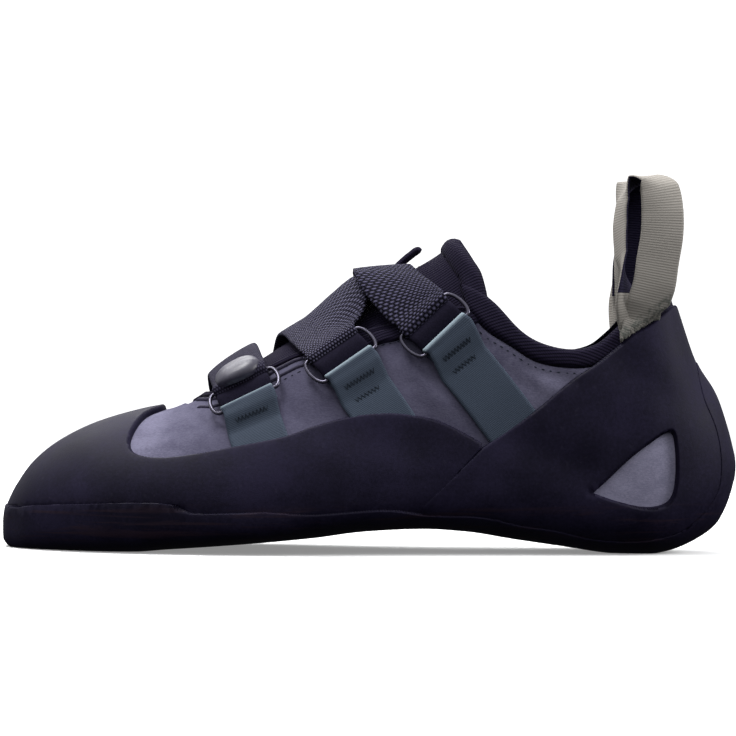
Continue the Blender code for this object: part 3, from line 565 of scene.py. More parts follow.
class Chart:
    """One side of a layer of the last, unrolled: metres along it, and down from its ridge."""

    ROWS = 400
    TURNS = 72

    def __init__(self, depth: float, side: Side) -> None:
        """Measure the layer and unroll it.

        Args:
            depth: how far it lies below the outer face.
            side: the side of the foot.
        """
        self.depth = depth
        self.side = side
        share = np.linspace(0.0, 1.0, self.ROWS)
        share = share - 0.85 * np.sin(2 * np.pi * share) / (2 * np.pi)
        self.x = depth + share * (LENGTH - 2 * depth)
        high = set_in(INNER, self.x, depth)
        low = -set_in(OUTER, self.x, depth)
        self.half = (high - low) / 2
        self.middle = (high + low) / 2
        self.top = set_in(TOP, self.x, depth)
        self.under = -set_in(UNDER, self.x, depth)
        room = (self.top - self.under) * LEAST_SHARE
        self.wide = np.minimum(np.maximum(WIDE(self.x), self.under + room), self.top - room)
        self.turns = np.linspace(np.pi / 2, -np.pi / 2, self.TURNS)
        xx, tt = np.meshgrid(self.x, self.turns, indexing="ij")
        grid = self.point(xx.ravel(), tt.ravel()).reshape(self.ROWS, self.TURNS, 3)
        steps = np.linalg.norm(np.diff(grid, axis=1), axis=2)
        self.girth = np.concatenate([np.zeros((self.ROWS, 1)), np.cumsum(steps, axis=1)], axis=1)
        plan = np.maximum(np.abs(np.diff(self.half)), np.abs(np.diff(self.top)))
        self.along = np.concatenate([[0.0], np.cumsum(np.hypot(np.diff(self.x), plan))])

    def point(self, x: np.ndarray, turn: np.ndarray) -> np.ndarray:
        """Points at lengths from the toe and turns: a right angle at the ridge, minus below.

        Args:
            x: the lengths.
            turn: the turns.

        Returns:
            A row for each point.
        """
        half, middle, top, under, wide = (
            np.interp(x, self.x, values)
            for values in (self.half, self.middle, self.top, self.under, self.wide))
        across = np.cos(turn)
        up = np.sin(turn)
        power = 2 / np.where(up >= 0, CROWN(x), EDGE(x))
        rise = np.sign(up) * np.abs(up) ** power
        reach = np.where(up >= 0, top - wide, wide - under)
        y = middle + self.side.value * half * np.abs(across) ** power
        y = y + LEAN(x) * np.maximum(rise, 0) ** 1.5
        return np.stack([x - LENGTH / 2, y, wide + rise * reach], axis=1)

    def turn_of(self, x: np.ndarray, z: np.ndarray) -> np.ndarray:
        """The turn at which a section passes a height, held between ridge and underside.

        Args:
            x: the lengths.
            z: the heights.

        Returns:
            A turn for each.
        """
        top, under, wide = (np.interp(x, self.x, v) for v in (self.top, self.under, self.wide))
        over = np.clip((z - wide) / (top - wide), 0, 1) ** (CROWN(x) / 2)
        below = np.clip((wide - z) / (wide - under), 0, 1) ** (EDGE(x) / 2)
        return np.arcsin(np.where(z >= wide, over, -below))

    def _girths(self, x: np.ndarray) -> np.ndarray:
        """How far down each turn lies at lengths from the toe.

        Args:
            x: the lengths.

        Returns:
            A row of distances for each length.
        """
        place = np.clip(np.interp(x, self.x, np.arange(self.ROWS)), 0, self.ROWS - 1.001)
        low = place.astype(int)
        part = (place - low)[:, None]
        return self.girth[low] * (1 - part) + self.girth[low + 1] * part

    def unroll(self, x: np.ndarray, turn: np.ndarray) -> np.ndarray:
        """Chart places of lengths and turns.

        Args:
            x: the lengths.
            turn: the turns.

        Returns:
            A chart place for each.
        """
        rows = self._girths(x)
        place = (np.pi / 2 - turn) / np.pi * (self.TURNS - 1)
        low = np.clip(place.astype(int), 0, self.TURNS - 2)
        part = place - low
        index = np.arange(len(x))
        down = rows[index, low] * (1 - part) + rows[index, low + 1] * part
        return np.stack([np.interp(x, self.x, self.along), down], axis=1)

    def roll(self, places: np.ndarray) -> tuple[np.ndarray, np.ndarray]:
        """Lengths and turns of chart places.

        Args:
            places: the chart places.

        Returns:
            The lengths, and the turns.
        """
        x = np.interp(places[:, 0], self.along, self.x)
        rows = self._girths(x)
        turn = np.array([np.interp(d, row, self.turns) for d, row in zip(places[:, 1], rows)])
        return x, turn

    def normals(self, x: np.ndarray, turn: np.ndarray) -> np.ndarray:
        """Outward directions of the layer.

        Args:
            x: the lengths.
            turn: the turns.

        Returns:
            A direction for each.
        """
        small = 2e-4
        x_low = np.clip(x - small, self.x[0], self.x[-1] - small)
        t_low = np.clip(turn, -np.pi / 2 + SMALL_TURN, np.pi / 2 - SMALL_TURN)
        along = self.point(x_low + 2 * small, t_low) - self.point(x_low, t_low)
        around = self.point(x, t_low + SMALL_TURN) - self.point(x, t_low - SMALL_TURN)
        way = np.cross(along, around) * -self.side.value
        way /= np.maximum(np.linalg.norm(way, axis=1), 1e-12)[:, None]
        return way


def relief(points: np.ndarray, side: Side) -> np.ndarray:
    """How far the soft creases move points of a layer outwards.

    Args:
        points: the points.
        side: the side of the foot.

    Returns:
        A distance outwards for each point.
    """
    total = np.zeros(len(points))
    for row in TROUGHS:
        if row.side is not side:
            continue
        a = np.array([row.start[0] * LENGTH - LENGTH / 2, row.start[1]])
        b = np.array([row.end[0] * LENGTH - LENGTH / 2, row.end[1]])
        here = points[:, [0, 2]] - a
        way = (b - a) / np.hypot(*(b - a))
        along = np.clip(here @ way, 0, np.hypot(*(b - a)))
        away = np.linalg.norm(here - along[:, None] * way, axis=1)
        total -= row.depth * np.exp(-(away / row.width) ** 2)
    return total


def away_from(places: np.ndarray, starts: np.ndarray, ends: np.ndarray) -> np.ndarray:
    """The distance from each place to the nearest of some segments.

    Args:
        places: the places.
        starts: where the segments start.
        ends: where they end.

    Returns:
        A distance for each place.
    """
    best = np.full(len(places), 1.0)
    way = ends - starts
    size = np.maximum((way ** 2).sum(axis=1), 1e-18)
    for k in range(0, len(places), BATCH):
        part = places[k:k + BATCH]
        offset = part[:, None, :] - starts[None]
        share = np.clip((offset * way).sum(axis=2) / size, 0, 1)
        gap = offset - share[..., None] * way
        best[k:k + BATCH] = np.sqrt((gap ** 2).sum(axis=2)).min(axis=1)
    return best


def within(places: np.ndarray, loop: np.ndarray) -> np.ndarray:
    """Which places lie inside a closed loop.

    Args:
        places: the places.
        loop: the loop's places.

    Returns:
        True for each place inside.
    """
    a = loop
    b = np.roll(loop, -1, axis=0)
    inside = np.zeros(len(places), dtype=bool)
    for k in range(0, len(places), BATCH):
        part = places[k:k + BATCH]
        spans = (a[None, :, 1] > part[:, None, 1]) != (b[None, :, 1] > part[:, None, 1])
        slope = (b[:, 0] - a[:, 0]) / np.where(b[:, 1] == a[:, 1], 1e-12, b[:, 1] - a[:, 1])
        cross = a[None, :, 0] + (part[:, None, 1] - a[None, :, 1]) * slope[None]
        inside[k:k + BATCH] = (spans & (part[:, None, 0] < cross)).sum(axis=1) % 2 == 1
    return inside


@dataclass
class Sheet:
    """Points, faces and texture places of a piece's mesh while it is put together."""

    points: list = field(default_factory=list)
    faces: list = field(default_factory=list)
    places: list = field(default_factory=list)
    slots: list = field(default_factory=list)

    def add(self, points: Iterable, faces: Sequence, places: Iterable,
            slots: Sequence[int] = ()) -> None:
        """Append one part, with its own point numbers.

        Args:
            points: the part's points.
            faces: its faces, by point number within the part.
            places: a texture place for each point, in metres.
            slots: a material number for each face, nought where left out.
        """
        start = len(self.points)
        self.slots.extend(slots if len(slots) else [0] * len(faces))
        self.points.extend(tuple(float(v) for v in p) for p in points)
        self.places.extend(tuple(float(v) for v in p) for p in places)
        self.faces.extend(tuple(start + k for k in face) for face in faces)

    def build(self, name: str, sharp: float = 50.0) -> bpy.types.Object:
        """The finished object, welded, with its faces shaded smooth up to an angle.

        Args:
            name: the object's name.
            sharp: the angle in degrees from which an edge stays sharp.

        Returns:
            The object, in the scene.
        """
        mesh = bpy.data.meshes.new(name)
        mesh.from_pydata(self.points, [], self.faces)
        layer = mesh.uv_layers.new(name="UVMap")
        corners = np.zeros(len(mesh.loops), dtype=np.int32)
        mesh.loops.foreach_get("vertex_index", corners)
        layer.data.foreach_set("uv", np.array(self.places, dtype=np.float32)[corners].ravel())
        mesh.polygons.foreach_set("material_index", np.array(self.slots, dtype=np.int32))
        shape = bmesh.new()
        shape.from_mesh(mesh)
        bmesh.ops.remove_doubles(shape, verts=shape.verts, dist=WELD)
        shape.to_mesh(mesh)
        shape.free()
        mesh.shade_smooth()
        mesh.set_sharp_from_angle(angle=math.radians(sharp))
        piece = bpy.data.objects.new(name, mesh)
        bpy.context.scene.collection.objects.link(piece)
        log.info("%s: %d faces", name, len(mesh.polygons))
        return piece


Profile = Callable[[np.ndarray, np.ndarray], np.ndarray]


@dataclass
class Patch:
    """A panel of one layer, between lines drawn on the side of the shoe."""

    outline: Sequence[tuple[float, float]]
    depth: float
    holes: Sequence[Sequence[tuple[float, float]]] = ()
    rounding: float = 0.0009
    rim: float = 0.0016
    pitch: float = 0.0016
    profile: Profile | None = None
    inward: bool = False
    floor: bool = False

    def lay(self, sheet: Sheet, side: Side) -> None:
        """Add the panel on one side of the foot to a sheet.

        Args:
            sheet: what the panel is added to.
            side: the side of the foot.
        """
        chart = Chart(self.depth, side)
        loops = [self._loop(chart, self.outline)]
        loops += [self._loop(chart, hole) for hole in self.holes]
        free_a = np.concatenate([p[free] for p, free in loops])
        free_b = np.concatenate([np.roll(p, -1, axis=0)[free] for p, free in loops])
        outer = loops[0][0]
        inner = self._filling(outer, [p for p, _ in loops[1:]], free_a, free_b)
        places = np.concatenate([p for p, _ in loops] + [inner])
        edges = []
        start = 0
        for p, _ in loops:
            edges += [(start + k, start + (k + 1) % len(p)) for k in range(len(p))]
            start += len(p)
        made = delaunay_2d_cdt([Vector(p) for p in places], edges, [], 0, 1e-7, True)
        source = [ids[0] if ids else -1 for ids in made[3]]
        flat = np.array([tuple(v) for v in made[0]])
        faces = np.array(made[2])
        middle = flat[faces].mean(axis=1)
        keep = within(middle, outer)
        for hole, _ in loops[1:]:
            keep &= ~within(middle, hole)
        faces = faces[keep]
        x, turn = chart.roll(flat)
        points = chart.point(x, turn)
        normals = chart.normals(x, turn)
        gap = away_from(flat, free_a, free_b) if len(free_a) else np.full(len(flat), 1.0)
        near = np.clip(1 - gap / max(self.rounding, 1e-9), 0, 1)
        rise = -self.rounding * (1 - np.sqrt(1 - near ** 2)) + relief(points, side)
        if self.profile:
            rise = rise + self.profile(points, gap)
        points = points + normals * rise[:, None]
        if self.floor:
            points[:, 2] = np.maximum(points[:, 2], 0.0)
        spots = np.stack([flat[:, 0], flat[:, 1] * side.value], axis=1)
        turned = faces[:, ::-1] if (side is Side.INNER) == self.inward else faces
        sheet.add(points, turned, spots)
        if self.rim > 0:
            self._add_rim(sheet, loops, source, points, normals, spots)

    def _loop(self, chart: Chart, line: Sequence) -> tuple[np.ndarray, np.ndarray]:
        """A closed line on the chart, and which of its segments are free edges.

        Args:
            chart: the layer's chart.
            line: the line's places.

        Returns:
            Its chart places, and true for each free edge.
        """
        fine = np.array(sampled(line, FINE_STEP, closed=True))
        x = np.clip(fine[:, 0] + LENGTH / 2, chart.x[0], chart.x[-1])
        turn = chart.turn_of(x, fine[:, 1])
        kind = np.where(turn > np.pi / 2 - 1e-6, 1, np.where(turn < -np.pi / 2 + 1e-6, 2, 0))
        at_end = (x <= chart.x[0] + 1e-9) | (x >= chart.x[-1] - 1e-9)
        kind = np.where((kind == 0) & at_end, 3, kind)
        places = chart.unroll(x, turn)
        step = min(self.pitch, EDGE_STEP)
        kept = []
        for k in range(len(places)):
            last = kept[-1] if kept else None
            turns_here = kind[k] != kind[k - 1] or kind[k] != kind[(k + 1) % len(kind)]
            if last is None or turns_here:
                if last is None or math.dist(places[k], places[last]) > 1e-5:
                    kept.append(k)
                continue
            way = places[k] - places[last]
            reach = abs(way[0]) if kind[k] in (1, 2) else math.hypot(*way)
            if reach >= (self.pitch if kind[k] in (1, 2) else step):
                kept.append(k)
        if math.dist(places[kept[0]], places[kept[-1]]) < 1e-5:
            kept.pop()
        kinds = kind[kept]
        following = np.roll(kinds, -1)
        joined = (kinds == following) & (kinds > 0)
        return places[kept], ~joined

    def _filling(self, outer: np.ndarray, holes: Sequence[np.ndarray], free_a: np.ndarray,
                 free_b: np.ndarray) -> np.ndarray:
        """Points inside the outline: a triangular grid, and rows close to the free edges.

        Args:
            outer: the outline on the chart.
            holes: the holes' lines.
            free_a: where the free edges start.
            free_b: where they end.

        Returns:
            The chart places of the points.
        """
        low = outer.min(axis=0)
        high = outer.max(axis=0)
        step = self.pitch
        rows = np.arange(low[1] + step * 0.5, high[1], step * 0.866)
        lines = []
        for k, r in enumerate(rows):
            across = np.arange(low[0] + (k % 2) * step / 2, high[0], step)
            lines.append(np.stack([across, np.full(len(across), r)], axis=1))
        grid = np.concatenate(lines)
        grid = grid[self._inside(grid, outer, holes)]
        grid = grid[away_from(grid, outer, np.roll(outer, -1, axis=0)) > step * 0.45]
        if not len(free_a):
            return grid
        gap = away_from(grid, free_a, free_b)
        sets = [grid[gap > self.rounding + step * 0.35]]
        middle = (free_a + free_b) / 2
        way = free_b - free_a
        across = np.stack([-way[:, 1], way[:, 0]], axis=1)
        across /= np.maximum(np.linalg.norm(across, axis=1), 1e-12)[:, None]
        for share in EDGE_ROWS:
            for sign in (1, -1):
                row = middle + across * sign * share * self.rounding
                row = row[self._inside(row, outer, holes)]
                if len(row):
                    clear = away_from(row, free_a, free_b) > share * self.rounding * 0.9
                    sets.append(row[clear])
        return np.concatenate(sets)

    @staticmethod
    def _inside(places: np.ndarray, outer: np.ndarray,
                holes: Sequence[np.ndarray]) -> np.ndarray:
        """Which places are in the outline and in none of the holes.

        Args:
            places: the places.
            outer: the outline.
            holes: the holes.

        Returns:
            True for each such place.
        """
        keep = within(places, outer)
        for hole in holes:
            keep &= ~within(places, hole)
        return keep

    def _add_rim(self, sheet: Sheet, loops: Sequence[tuple], source: Sequence[int],
                 points: np.ndarray, normals: np.ndarray, spots: np.ndarray) -> None:
        """The edge's own face, from the rounded edge down to the layer below.

        Args:
            sheet: what the face is added to.
            loops: the outline and the holes, with their free edges.
            source: the number in the outlines of each point, minus for none.
            points: the panel's points.
            normals: their directions.
            spots: their texture places.
        """
        where = {s: k for k, s in enumerate(source) if s >= 0}
        start = 0
        for loop, free in loops:
            count = len(loop)
            ids = [where.get(start + k) for k in range(count)]
            start += count
            chosen = [k for k in range(count) if free[k] and ids[k] is not None
                      and ids[(k + 1) % count] is not None]
            if not chosen:
                continue
            used = sorted({ids[k] for k in chosen} | {ids[(k + 1) % count] for k in chosen})
            order = {v: n for n, v in enumerate(used)}
            top = points[used]
            low = top - normals[used] * self.rim
            faces = []
            for k in chosen:
                a = order[ids[k]]
                b = order[ids[(k + 1) % count]]
                faces.append((a, b, b + len(used), a + len(used)))
            sheet.add(np.concatenate([top, low]), faces, np.concatenate([spots[used], spots[used]]))


@dataclass
class Station:
    """One cross line of a band: its middle, its width's direction and its outer side."""

    middle: Vector
    across: Vector
    out: Vector
    depth: float | None = None
    lift: float = 0.0
    hug: float = 0.0
    flare: tuple[float, float] = (0.0, 0.0)

    def place(self, share: float, width: float) -> tuple[Vector, Vector]:
        """The band's middle layer and its outward direction, a share of the width away.

        Args:
            share: the share of the width, minus for the other way.
            width: the band's width.

        Returns:
            The point, and its direction.
        """
        share *= 1 + 2 * (self.flare[1] if share > 0 else self.flare[0])
        straight = self.middle + self.across * (share * width)
        if self.depth is None or self.hug == 0:
            return straight, self.out
        lifted = self.lift > 0 or share > 0
        depth = self.depth + (self.lift * 2 * share if lifted else 0.0)
        laid = snap(straight, depth)
        way = outward(laid, depth)
        if way.dot(self.out) < 0:
            way = -way
        return straight.lerp(laid, self.hug), self.out.lerp(way, self.hug).normalized()


def eased(stations: Sequence[Station], parts: int) -> list[Station]:
    """Stations with smooth ones added between, so that folds look round.

    Args:
        stations: the stations.
        parts: how many go into each step.

    Returns:
        The closer stations.
    """
    made = []
    for k in range(len(stations) - 1):
        before = stations[max(k - 1, 0)]
        here = stations[k]
        after = stations[k + 1]
        beyond = stations[min(k + 2, len(stations) - 1)]
        for step in range(parts):
            t = step / parts
            weights = (-t + 2 * t * t - t ** 3, 2 - 5 * t * t + 3 * t ** 3,
                       t + 4 * t * t - 3 * t ** 3, -t * t + t ** 3)
            rows = (before, here, after, beyond)
            middle = sum((r.middle * w for r, w in zip(rows, weights)), Vector()) / 2
            across = here.across.lerp(after.across, t).normalized()
            out = here.out.lerp(after.out, t).normalized()
            depth = None
            if here.depth is not None and after.depth is not None:
                depth = here.depth + (after.depth - here.depth) * t
            hug = here.hug + (after.hug - here.hug) * t if depth is not None else 0.0
            lift = here.lift + (after.lift - here.lift) * t
            flare = tuple(a + (c - a) * t for a, c in zip(here.flare, after.flare))
            made.append(Station(middle, across, out, depth, lift, hug, flare))
    made.append(stations[-1])
    return made


Bulge = Callable[[float, float], float]


@dataclass
class Band:
    """A ribbon with rounded edges, laid along stations."""

    stations: Sequence[Station]
    width: float
    thickness: float
    steps: int = 12
    bulge: Bulge | None = None
    backed: bool = False

    def lay(self, sheet: Sheet, start: float = 0.0) -> float:
        """Add the ribbon to a sheet.

        Args:
            sheet: what the ribbon is added to.
            start: the texture place at which the ribbon begins.

        Returns:
            The texture place at its far end.
        """
        rows = []
        spots = []
        travelled = start
        shares = [0.5 * math.sin(math.pi / 2 * (2 * k / self.steps - 1))
                  for k in range(self.steps + 1)]
        last = len(self.stations) - 1
        for k, station in enumerate(self.stations):
            if k:
                travelled += (station.middle - self.stations[k - 1].middle).length
            over = []
            under = []
            for share in shares:
                middle, out = station.place(share, self.width)
                edge = min(1.0, (0.5 - abs(share)) * self.width / (self.thickness * 0.5))
                thick = self.thickness / 2 * math.sqrt(max(1 - (1 - edge) ** 2, 0.02))
                more = self.bulge(k / last, share) if self.bulge else 0.0
                if k in (0, last):
                    thick *= 0.5
                over.append(middle + out * (thick + more))
                under.append(middle - out * thick)
            rows.append(over + under[::-1])
            spot = [(travelled, share * self.width) for share in shares]
            spots.extend(spot + spot[::-1])
        count = len(rows[0])
        faces = []
        slots = []
        for k in range(last):
            for step in range(count):
                a = k * count + step
                b = k * count + (step + 1) % count
                faces.append((a, b, b + count, a + count))
                slots.append(1 if self.backed and step > self.steps else 0)
        for end in (0, last):
            ids = [end * count + step for step in range(count)]
            half = count // 2
            faces += [(ids[s], ids[s + 1], ids[count - 2 - s], ids[count - 1 - s])
                      for s in range(half - 1)]
            slots += [0] * (half - 1)
        sheet.add([p for row in rows for p in row], faces, spots, slots)
        return travelled


THREAD_LIFT = 0.00010
THREAD_RADIUS = 0.00026
DOME_CORNER = 2.6
DOME_SKIRT = 0.0008


@dataclass
class Run:
    """Places on a band's outer face, by how far they are from its fold and their share across."""

    stations: Sequence[Station]
    width: float
    thickness: float
    first: int = 5

    def __post_init__(self) -> None:
        """Measure how far each station is from the fold."""
        rows = self.stations[self.first:]
        steps = [(b.middle - a.middle).length for a, b in zip(rows, rows[1:])]
        self.marks = np.concatenate([[0.0], np.cumsum(steps)])
        self.rows = rows

    def place(self, along: float, share: float) -> tuple[Vector, Vector]:
        """The point on the outer face and its outward direction.

        Args:
            along: the distance from the fold.
            share: the share across.

        Returns:
            The point, and its direction.
        """
        k = int(np.clip(np.searchsorted(self.marks, along) - 1, 0, len(self.rows) - 2))
        t = (along - self.marks[k]) / (self.marks[k + 1] - self.marks[k])
        here, out_a = self.rows[k].place(share, self.width)
        after, out_b = self.rows[k + 1].place(share, self.width)
        out = out_a.lerp(out_b, min(max(t, 0.0), 1.0)).normalized()
        return here.lerp(after, t) + out * self.thickness / 2, out

    def tack(self, sheet: Sheet, along: float, span: float, height: float, turns: int) -> None:
        """Sew a zigzag across the band at a distance from its fold.

        Args:
            sheet: what the thread is added to.
            along: the distance.
            span: the row's share of the width.
            height: the row's height.
            turns: how often the thread goes up and down.
        """
        route = []
        outs = []
        for k in range(turns * 2 + 1):
            share = span * (k / (turns * 2) - 0.5)
            point, out = self.place(along + (height / 2 if k % 2 else -height / 2), share)
            route.append(point + out * THREAD_LIFT)
            outs.append(out)
        Tube(route, THREAD_RADIUS, 6).lay(sheet, 0.7, outs)

    def dome(self, sheet: Sheet, along: float, length: float, span: float, height: float) -> None:
        """Mould a rounded pad on the band.

        Args:
            sheet: what the pad is added to.
            along: where its middle is.
            length: half its length.
            span: half its width.
            height: its height.
        """
        rings = 12
        around = 48
        points = []
        spots = []
        for ring in range(rings + 1):
            share = math.sin(math.pi / 2 * ring / rings)
            rise = height * (1 - share ** 3.2) ** 0.6 - (DOME_SKIRT if ring == rings else 0.0)
            for k in range(around):
                angle = 2 * math.pi * k / around
                sides = abs(math.cos(angle)) ** DOME_CORNER + abs(math.sin(angle)) ** DOME_CORNER
                corner = sides ** (-1 / DOME_CORNER)
                a = along + length * share * corner * math.cos(angle)
                s = span * share * corner * math.sin(angle) / self.width
                point, out = self.place(a, s)
                points.append(point + out * rise)
                spots.append((a, s * self.width))
        faces = []
        for ring in range(rings):
            for k in range(around):
                nxt = (k + 1) % around
                a = ring * around
                faces.append((a + k, a + around + k, a + around + nxt, a + nxt))
        sheet.add(points, faces, spots)


def tucked(sheet: Sheet, line: Sequence, depth: float, fade: float) -> None:
    """Sink what lies below a side line, so that it passes under the layer that starts there.

    Args:
        sheet: the piece.
        line: the side line, as places in metres.
        depth: how far what lies below it sinks.
        fade: the height over which it goes down.
    """
    xs = [x for x, _ in line]
    zs = [z for _, z in line]
    for k, place in enumerate(sheet.points):
        under = (float(np.interp(place[0], xs, zs)) + fade * 0.8 - place[2]) / fade
        if under > 0:
            here = Vector(place)
            share = min(under, 1.0)
            moved = here - outward(here, 0.001) * (depth * share * share * (3 - 2 * share))
            sheet.points[k] = tuple(moved)


@dataclass
class Tube:
    """A round cord along a route."""

    route: Sequence[Vector]
    radius: float
    sides: int = 10
    closed: bool = False

    def lay(self, sheet: Sheet, squash: float = 1.0, out: Sequence[Vector] | None = None) -> None:
        """Add the cord to a sheet, flattened towards out by squash.

        Args:
            sheet: what the cord is added to.
            squash: its flatness, 1 for round.
            out: a direction for each point of the route.
        """
        count = len(self.route)
        points = []
        spots = []
        travelled = 0.0
        lead = None
        for k, here in enumerate(self.route):
            after = self.route[(k + 1) % count] if self.closed or k < count - 1 else here
            before = self.route[k - 1] if self.closed or k else here
            way = (after - before).normalized()
            if out is not None:
                lead = (out[k] - way * out[k].dot(way)).normalized()
            elif lead is None:
                lead = way.orthogonal().normalized()
            else:
                lead = (lead - way * lead.dot(way)).normalized()
            flat = way.cross(lead)
            if k:
                travelled += (here - self.route[k - 1]).length
            thin = 0.35 if not self.closed and k in (0, count - 1) else 1.0
            for corner in range(self.sides):
                angle = 2 * math.pi * corner / self.sides
                offset = flat * math.cos(angle) + lead * (math.sin(angle) * squash)
                points.append(here + offset * self.radius * thin)
                spots.append((travelled, self.radius * angle))
        faces = []
        for k in range(count if self.closed else count - 1):
            a = k * self.sides
            b = ((k + 1) % count) * self.sides
            for corner in range(self.sides):
                nxt = (corner + 1) % self.sides
                faces.append((a + corner, a + nxt, b + nxt, b + corner))
        if not self.closed:
            faces.append(tuple(range(self.sides)))
            faces.append(tuple((count - 1) * self.sides + c for c in range(self.sides)))
        sheet.add(points, faces, spots)


def flared(along: float, row: Closure) -> tuple[float, float]:
    """How much wider a strap is in front and behind, a share of its run from the ring."""
    swell = max(0.0, 1 - ((along - FLARE_AT) / FLARE_FADE) ** 2) ** 2
    return row.ahead * swell, row.behind * swell


class Seat:
    """Where a ring lies: its middle, its long axis, its upward side and its outer side."""

    def __init__(self, row: Closure) -> None:
        """Find the ring's place on the form.

        Args:
            row: the ring's closure.
        """
        self.middle = beside(row.at * LENGTH, row.up * INSTEP_HEIGHT, RING_DEPTH)
        self.out = outward(self.middle, RING_DEPTH)
        along = (Vector((1, 0, 0)) - self.out * self.out.x).normalized()
        climb = self.out.cross(along)
        slope = math.tan(math.radians(row.slope))
        share = (slope * along.x - along.z) / (climb.z - slope * climb.x)
        self.axis = (along + climb * share).normalized()
        self.up = self.out.cross(self.axis)

    def bar(self, way: Vector) -> Vector:
        """The middle of the bar on one side of the ring."""
        return self.middle + way * (RING_WIDTH - RING_WIRE) / 2

    def folded(self, way: Vector, sheet: float, length: float, floats: Sequence[Float] = (),
               row: Closure | None = None, leg: float = 0.0038) -> list[Station]:
        """Stations of a band folded round a bar of the ring and laid over the shoe.

        Args:
            way: the side of the ring that the band leaves on.
            sheet: the band's thickness.
            length: how far it runs from the bar.
            floats: how high it floats along its run, none for one that lies flat.
            row: the closure whose strap it is, none for a tab.
            leg: how far its underside runs back.

        Returns:
            The band's stations, from its underside's end to its far end.
        """
        skew = row.skew if row else 0.0
        veer = row.veer if row else 0.0
        bar = self.bar(way)
        radius = RING_WIRE / 2 + GAP + sheet / 2
        stations = [Station(bar + way * leg - self.out * radius, self.axis, -self.out)]
        for degrees in (-90, -135, -180, -225, -270):
            angle = math.radians(degrees)
            arm = way * math.cos(angle) + self.out * math.sin(angle)
            stations.append(Station(bar + arm * radius, self.axis, arm))
        rest = UPPER_OUT - GAP - sheet / 2
        spots = [(0.0022, RING_DEPTH - radius * 0.85, 0.0, 0.3),
                (leg + GAP, RING_DEPTH - radius * 0.45, 0.0, 0.6)]
        if floats:
            spots += [(spot.along * length, -spot.out, spot.lift, 1.0) for spot in floats]
        else:
            spots += [(0.0080, rest, 0.0, 1.0), (length, rest, 0.0, 1.0)]
        here = snap(bar, rest)
        out = self.out
        heading = way
        travelled = 0.0
        stops, depths, lifts, hugs = ([spot[k] for spot in spots] for k in range(4))
        marks = [stops[0], stops[1]]
        while marks[-1] < length - 0.003:
            marks.append(marks[-1] + 0.0050)
        marks[-1] = length
        for k, mark in enumerate(marks):
            turn = math.radians(veer * (mark - travelled) / length + (skew / 3 if k < 3 else 0))
            heading = heading * math.cos(turn) + heading.cross(out) * math.sin(turn)
            ahead = snap(here + heading * (mark - travelled), rest)
            out = outward(ahead, rest)
            heading = (ahead - here) - out * (ahead - here).dot(out)
            heading = heading.normalized()
            here = ahead
            travelled = mark
            depth = float(np.interp(mark, stops, depths))
            across = out.cross(heading).normalized()
            across *= math.copysign(1, across.dot(stations[-1].across))
            stations.append(Station(snap(here, depth), across, out, depth,
                                    float(np.interp(mark, stops, lifts)),
                                    float(np.interp(mark, stops, hugs)),
                                    flared(mark / length, row) if row else (0.0, 0.0)))
        return stations


class Signal:
    """A shader socket that ordinary arithmetic works on."""

    def __init__(self, painter: "Painter", socket: bpy.types.NodeSocket) -> None:
        """Wrap a socket."""
        self.painter = painter
        self.socket = socket

    def _math(self, operation: str, *values: Signal | float) -> "Signal":
        """The result of one sum.

        Args:
            operation: what is done.
            values: what it is done with.

        Returns:
            The result.
        """
        node = self.painter.node("ShaderNodeMath", {"operation": operation})
        for slot, value in zip(node.inputs, values):
            self.painter.feed(slot, value)
        return Signal(self.painter, node.outputs[0])

    def __add__(self, other: Signal | float) -> "Signal":
        """The sum."""
        return self._math("ADD", self, other)

    __radd__ = __add__

    def __sub__(self, other: Signal | float) -> "Signal":
        """The difference."""
        return self._math("SUBTRACT", self, other)

    def __rsub__(self, other: Signal | float) -> "Signal":
        """The difference from a number."""
        return self._math("SUBTRACT", other, self)

    def __mul__(self, other: Signal | float) -> "Signal":
        """The product."""
        return self._math("MULTIPLY", self, other)

    __rmul__ = __mul__

    def __truediv__(self, other: Signal | float) -> "Signal":
        """The quotient."""
        return self._math("DIVIDE", self, other)

    def sine(self) -> "Signal":
        """The sine of the signal, in radians."""
        return self._math("SINE", self)

    def size(self) -> "Signal":
        """The signal without its sign."""
        return self._math("ABSOLUTE", self)

    def whole(self) -> "Signal":
        """The signal rounded down."""
        return self._math("FLOOR", self)

    def rest(self, period: float) -> "Signal":
        """What is left over after whole periods."""
        return self._math("FLOORED_MODULO", self, period)

    def ramp(self, low: float, high: float, start: float = 0.0, end: float = 1.0) -> "Signal":
        """A smooth step from start to end as the signal goes from low to high.

        Args:
            low: where the step starts.
            high: where it ends.
            start: the value below it.
            end: the value above it.

        Returns:
            The step.
        """
        node = self.painter.node("ShaderNodeMapRange", {"interpolation_type": "SMOOTHSTEP"})
        self.painter.feed(node.inputs["Value"], self)
        for name, value in (("From Min", low), ("From Max", high), ("To Min", start), ("To Max", end)):
            node.inputs[name].default_value = value
        return Signal(self.painter, node.outputs["Result"])


Colour = tuple[float, float, float]


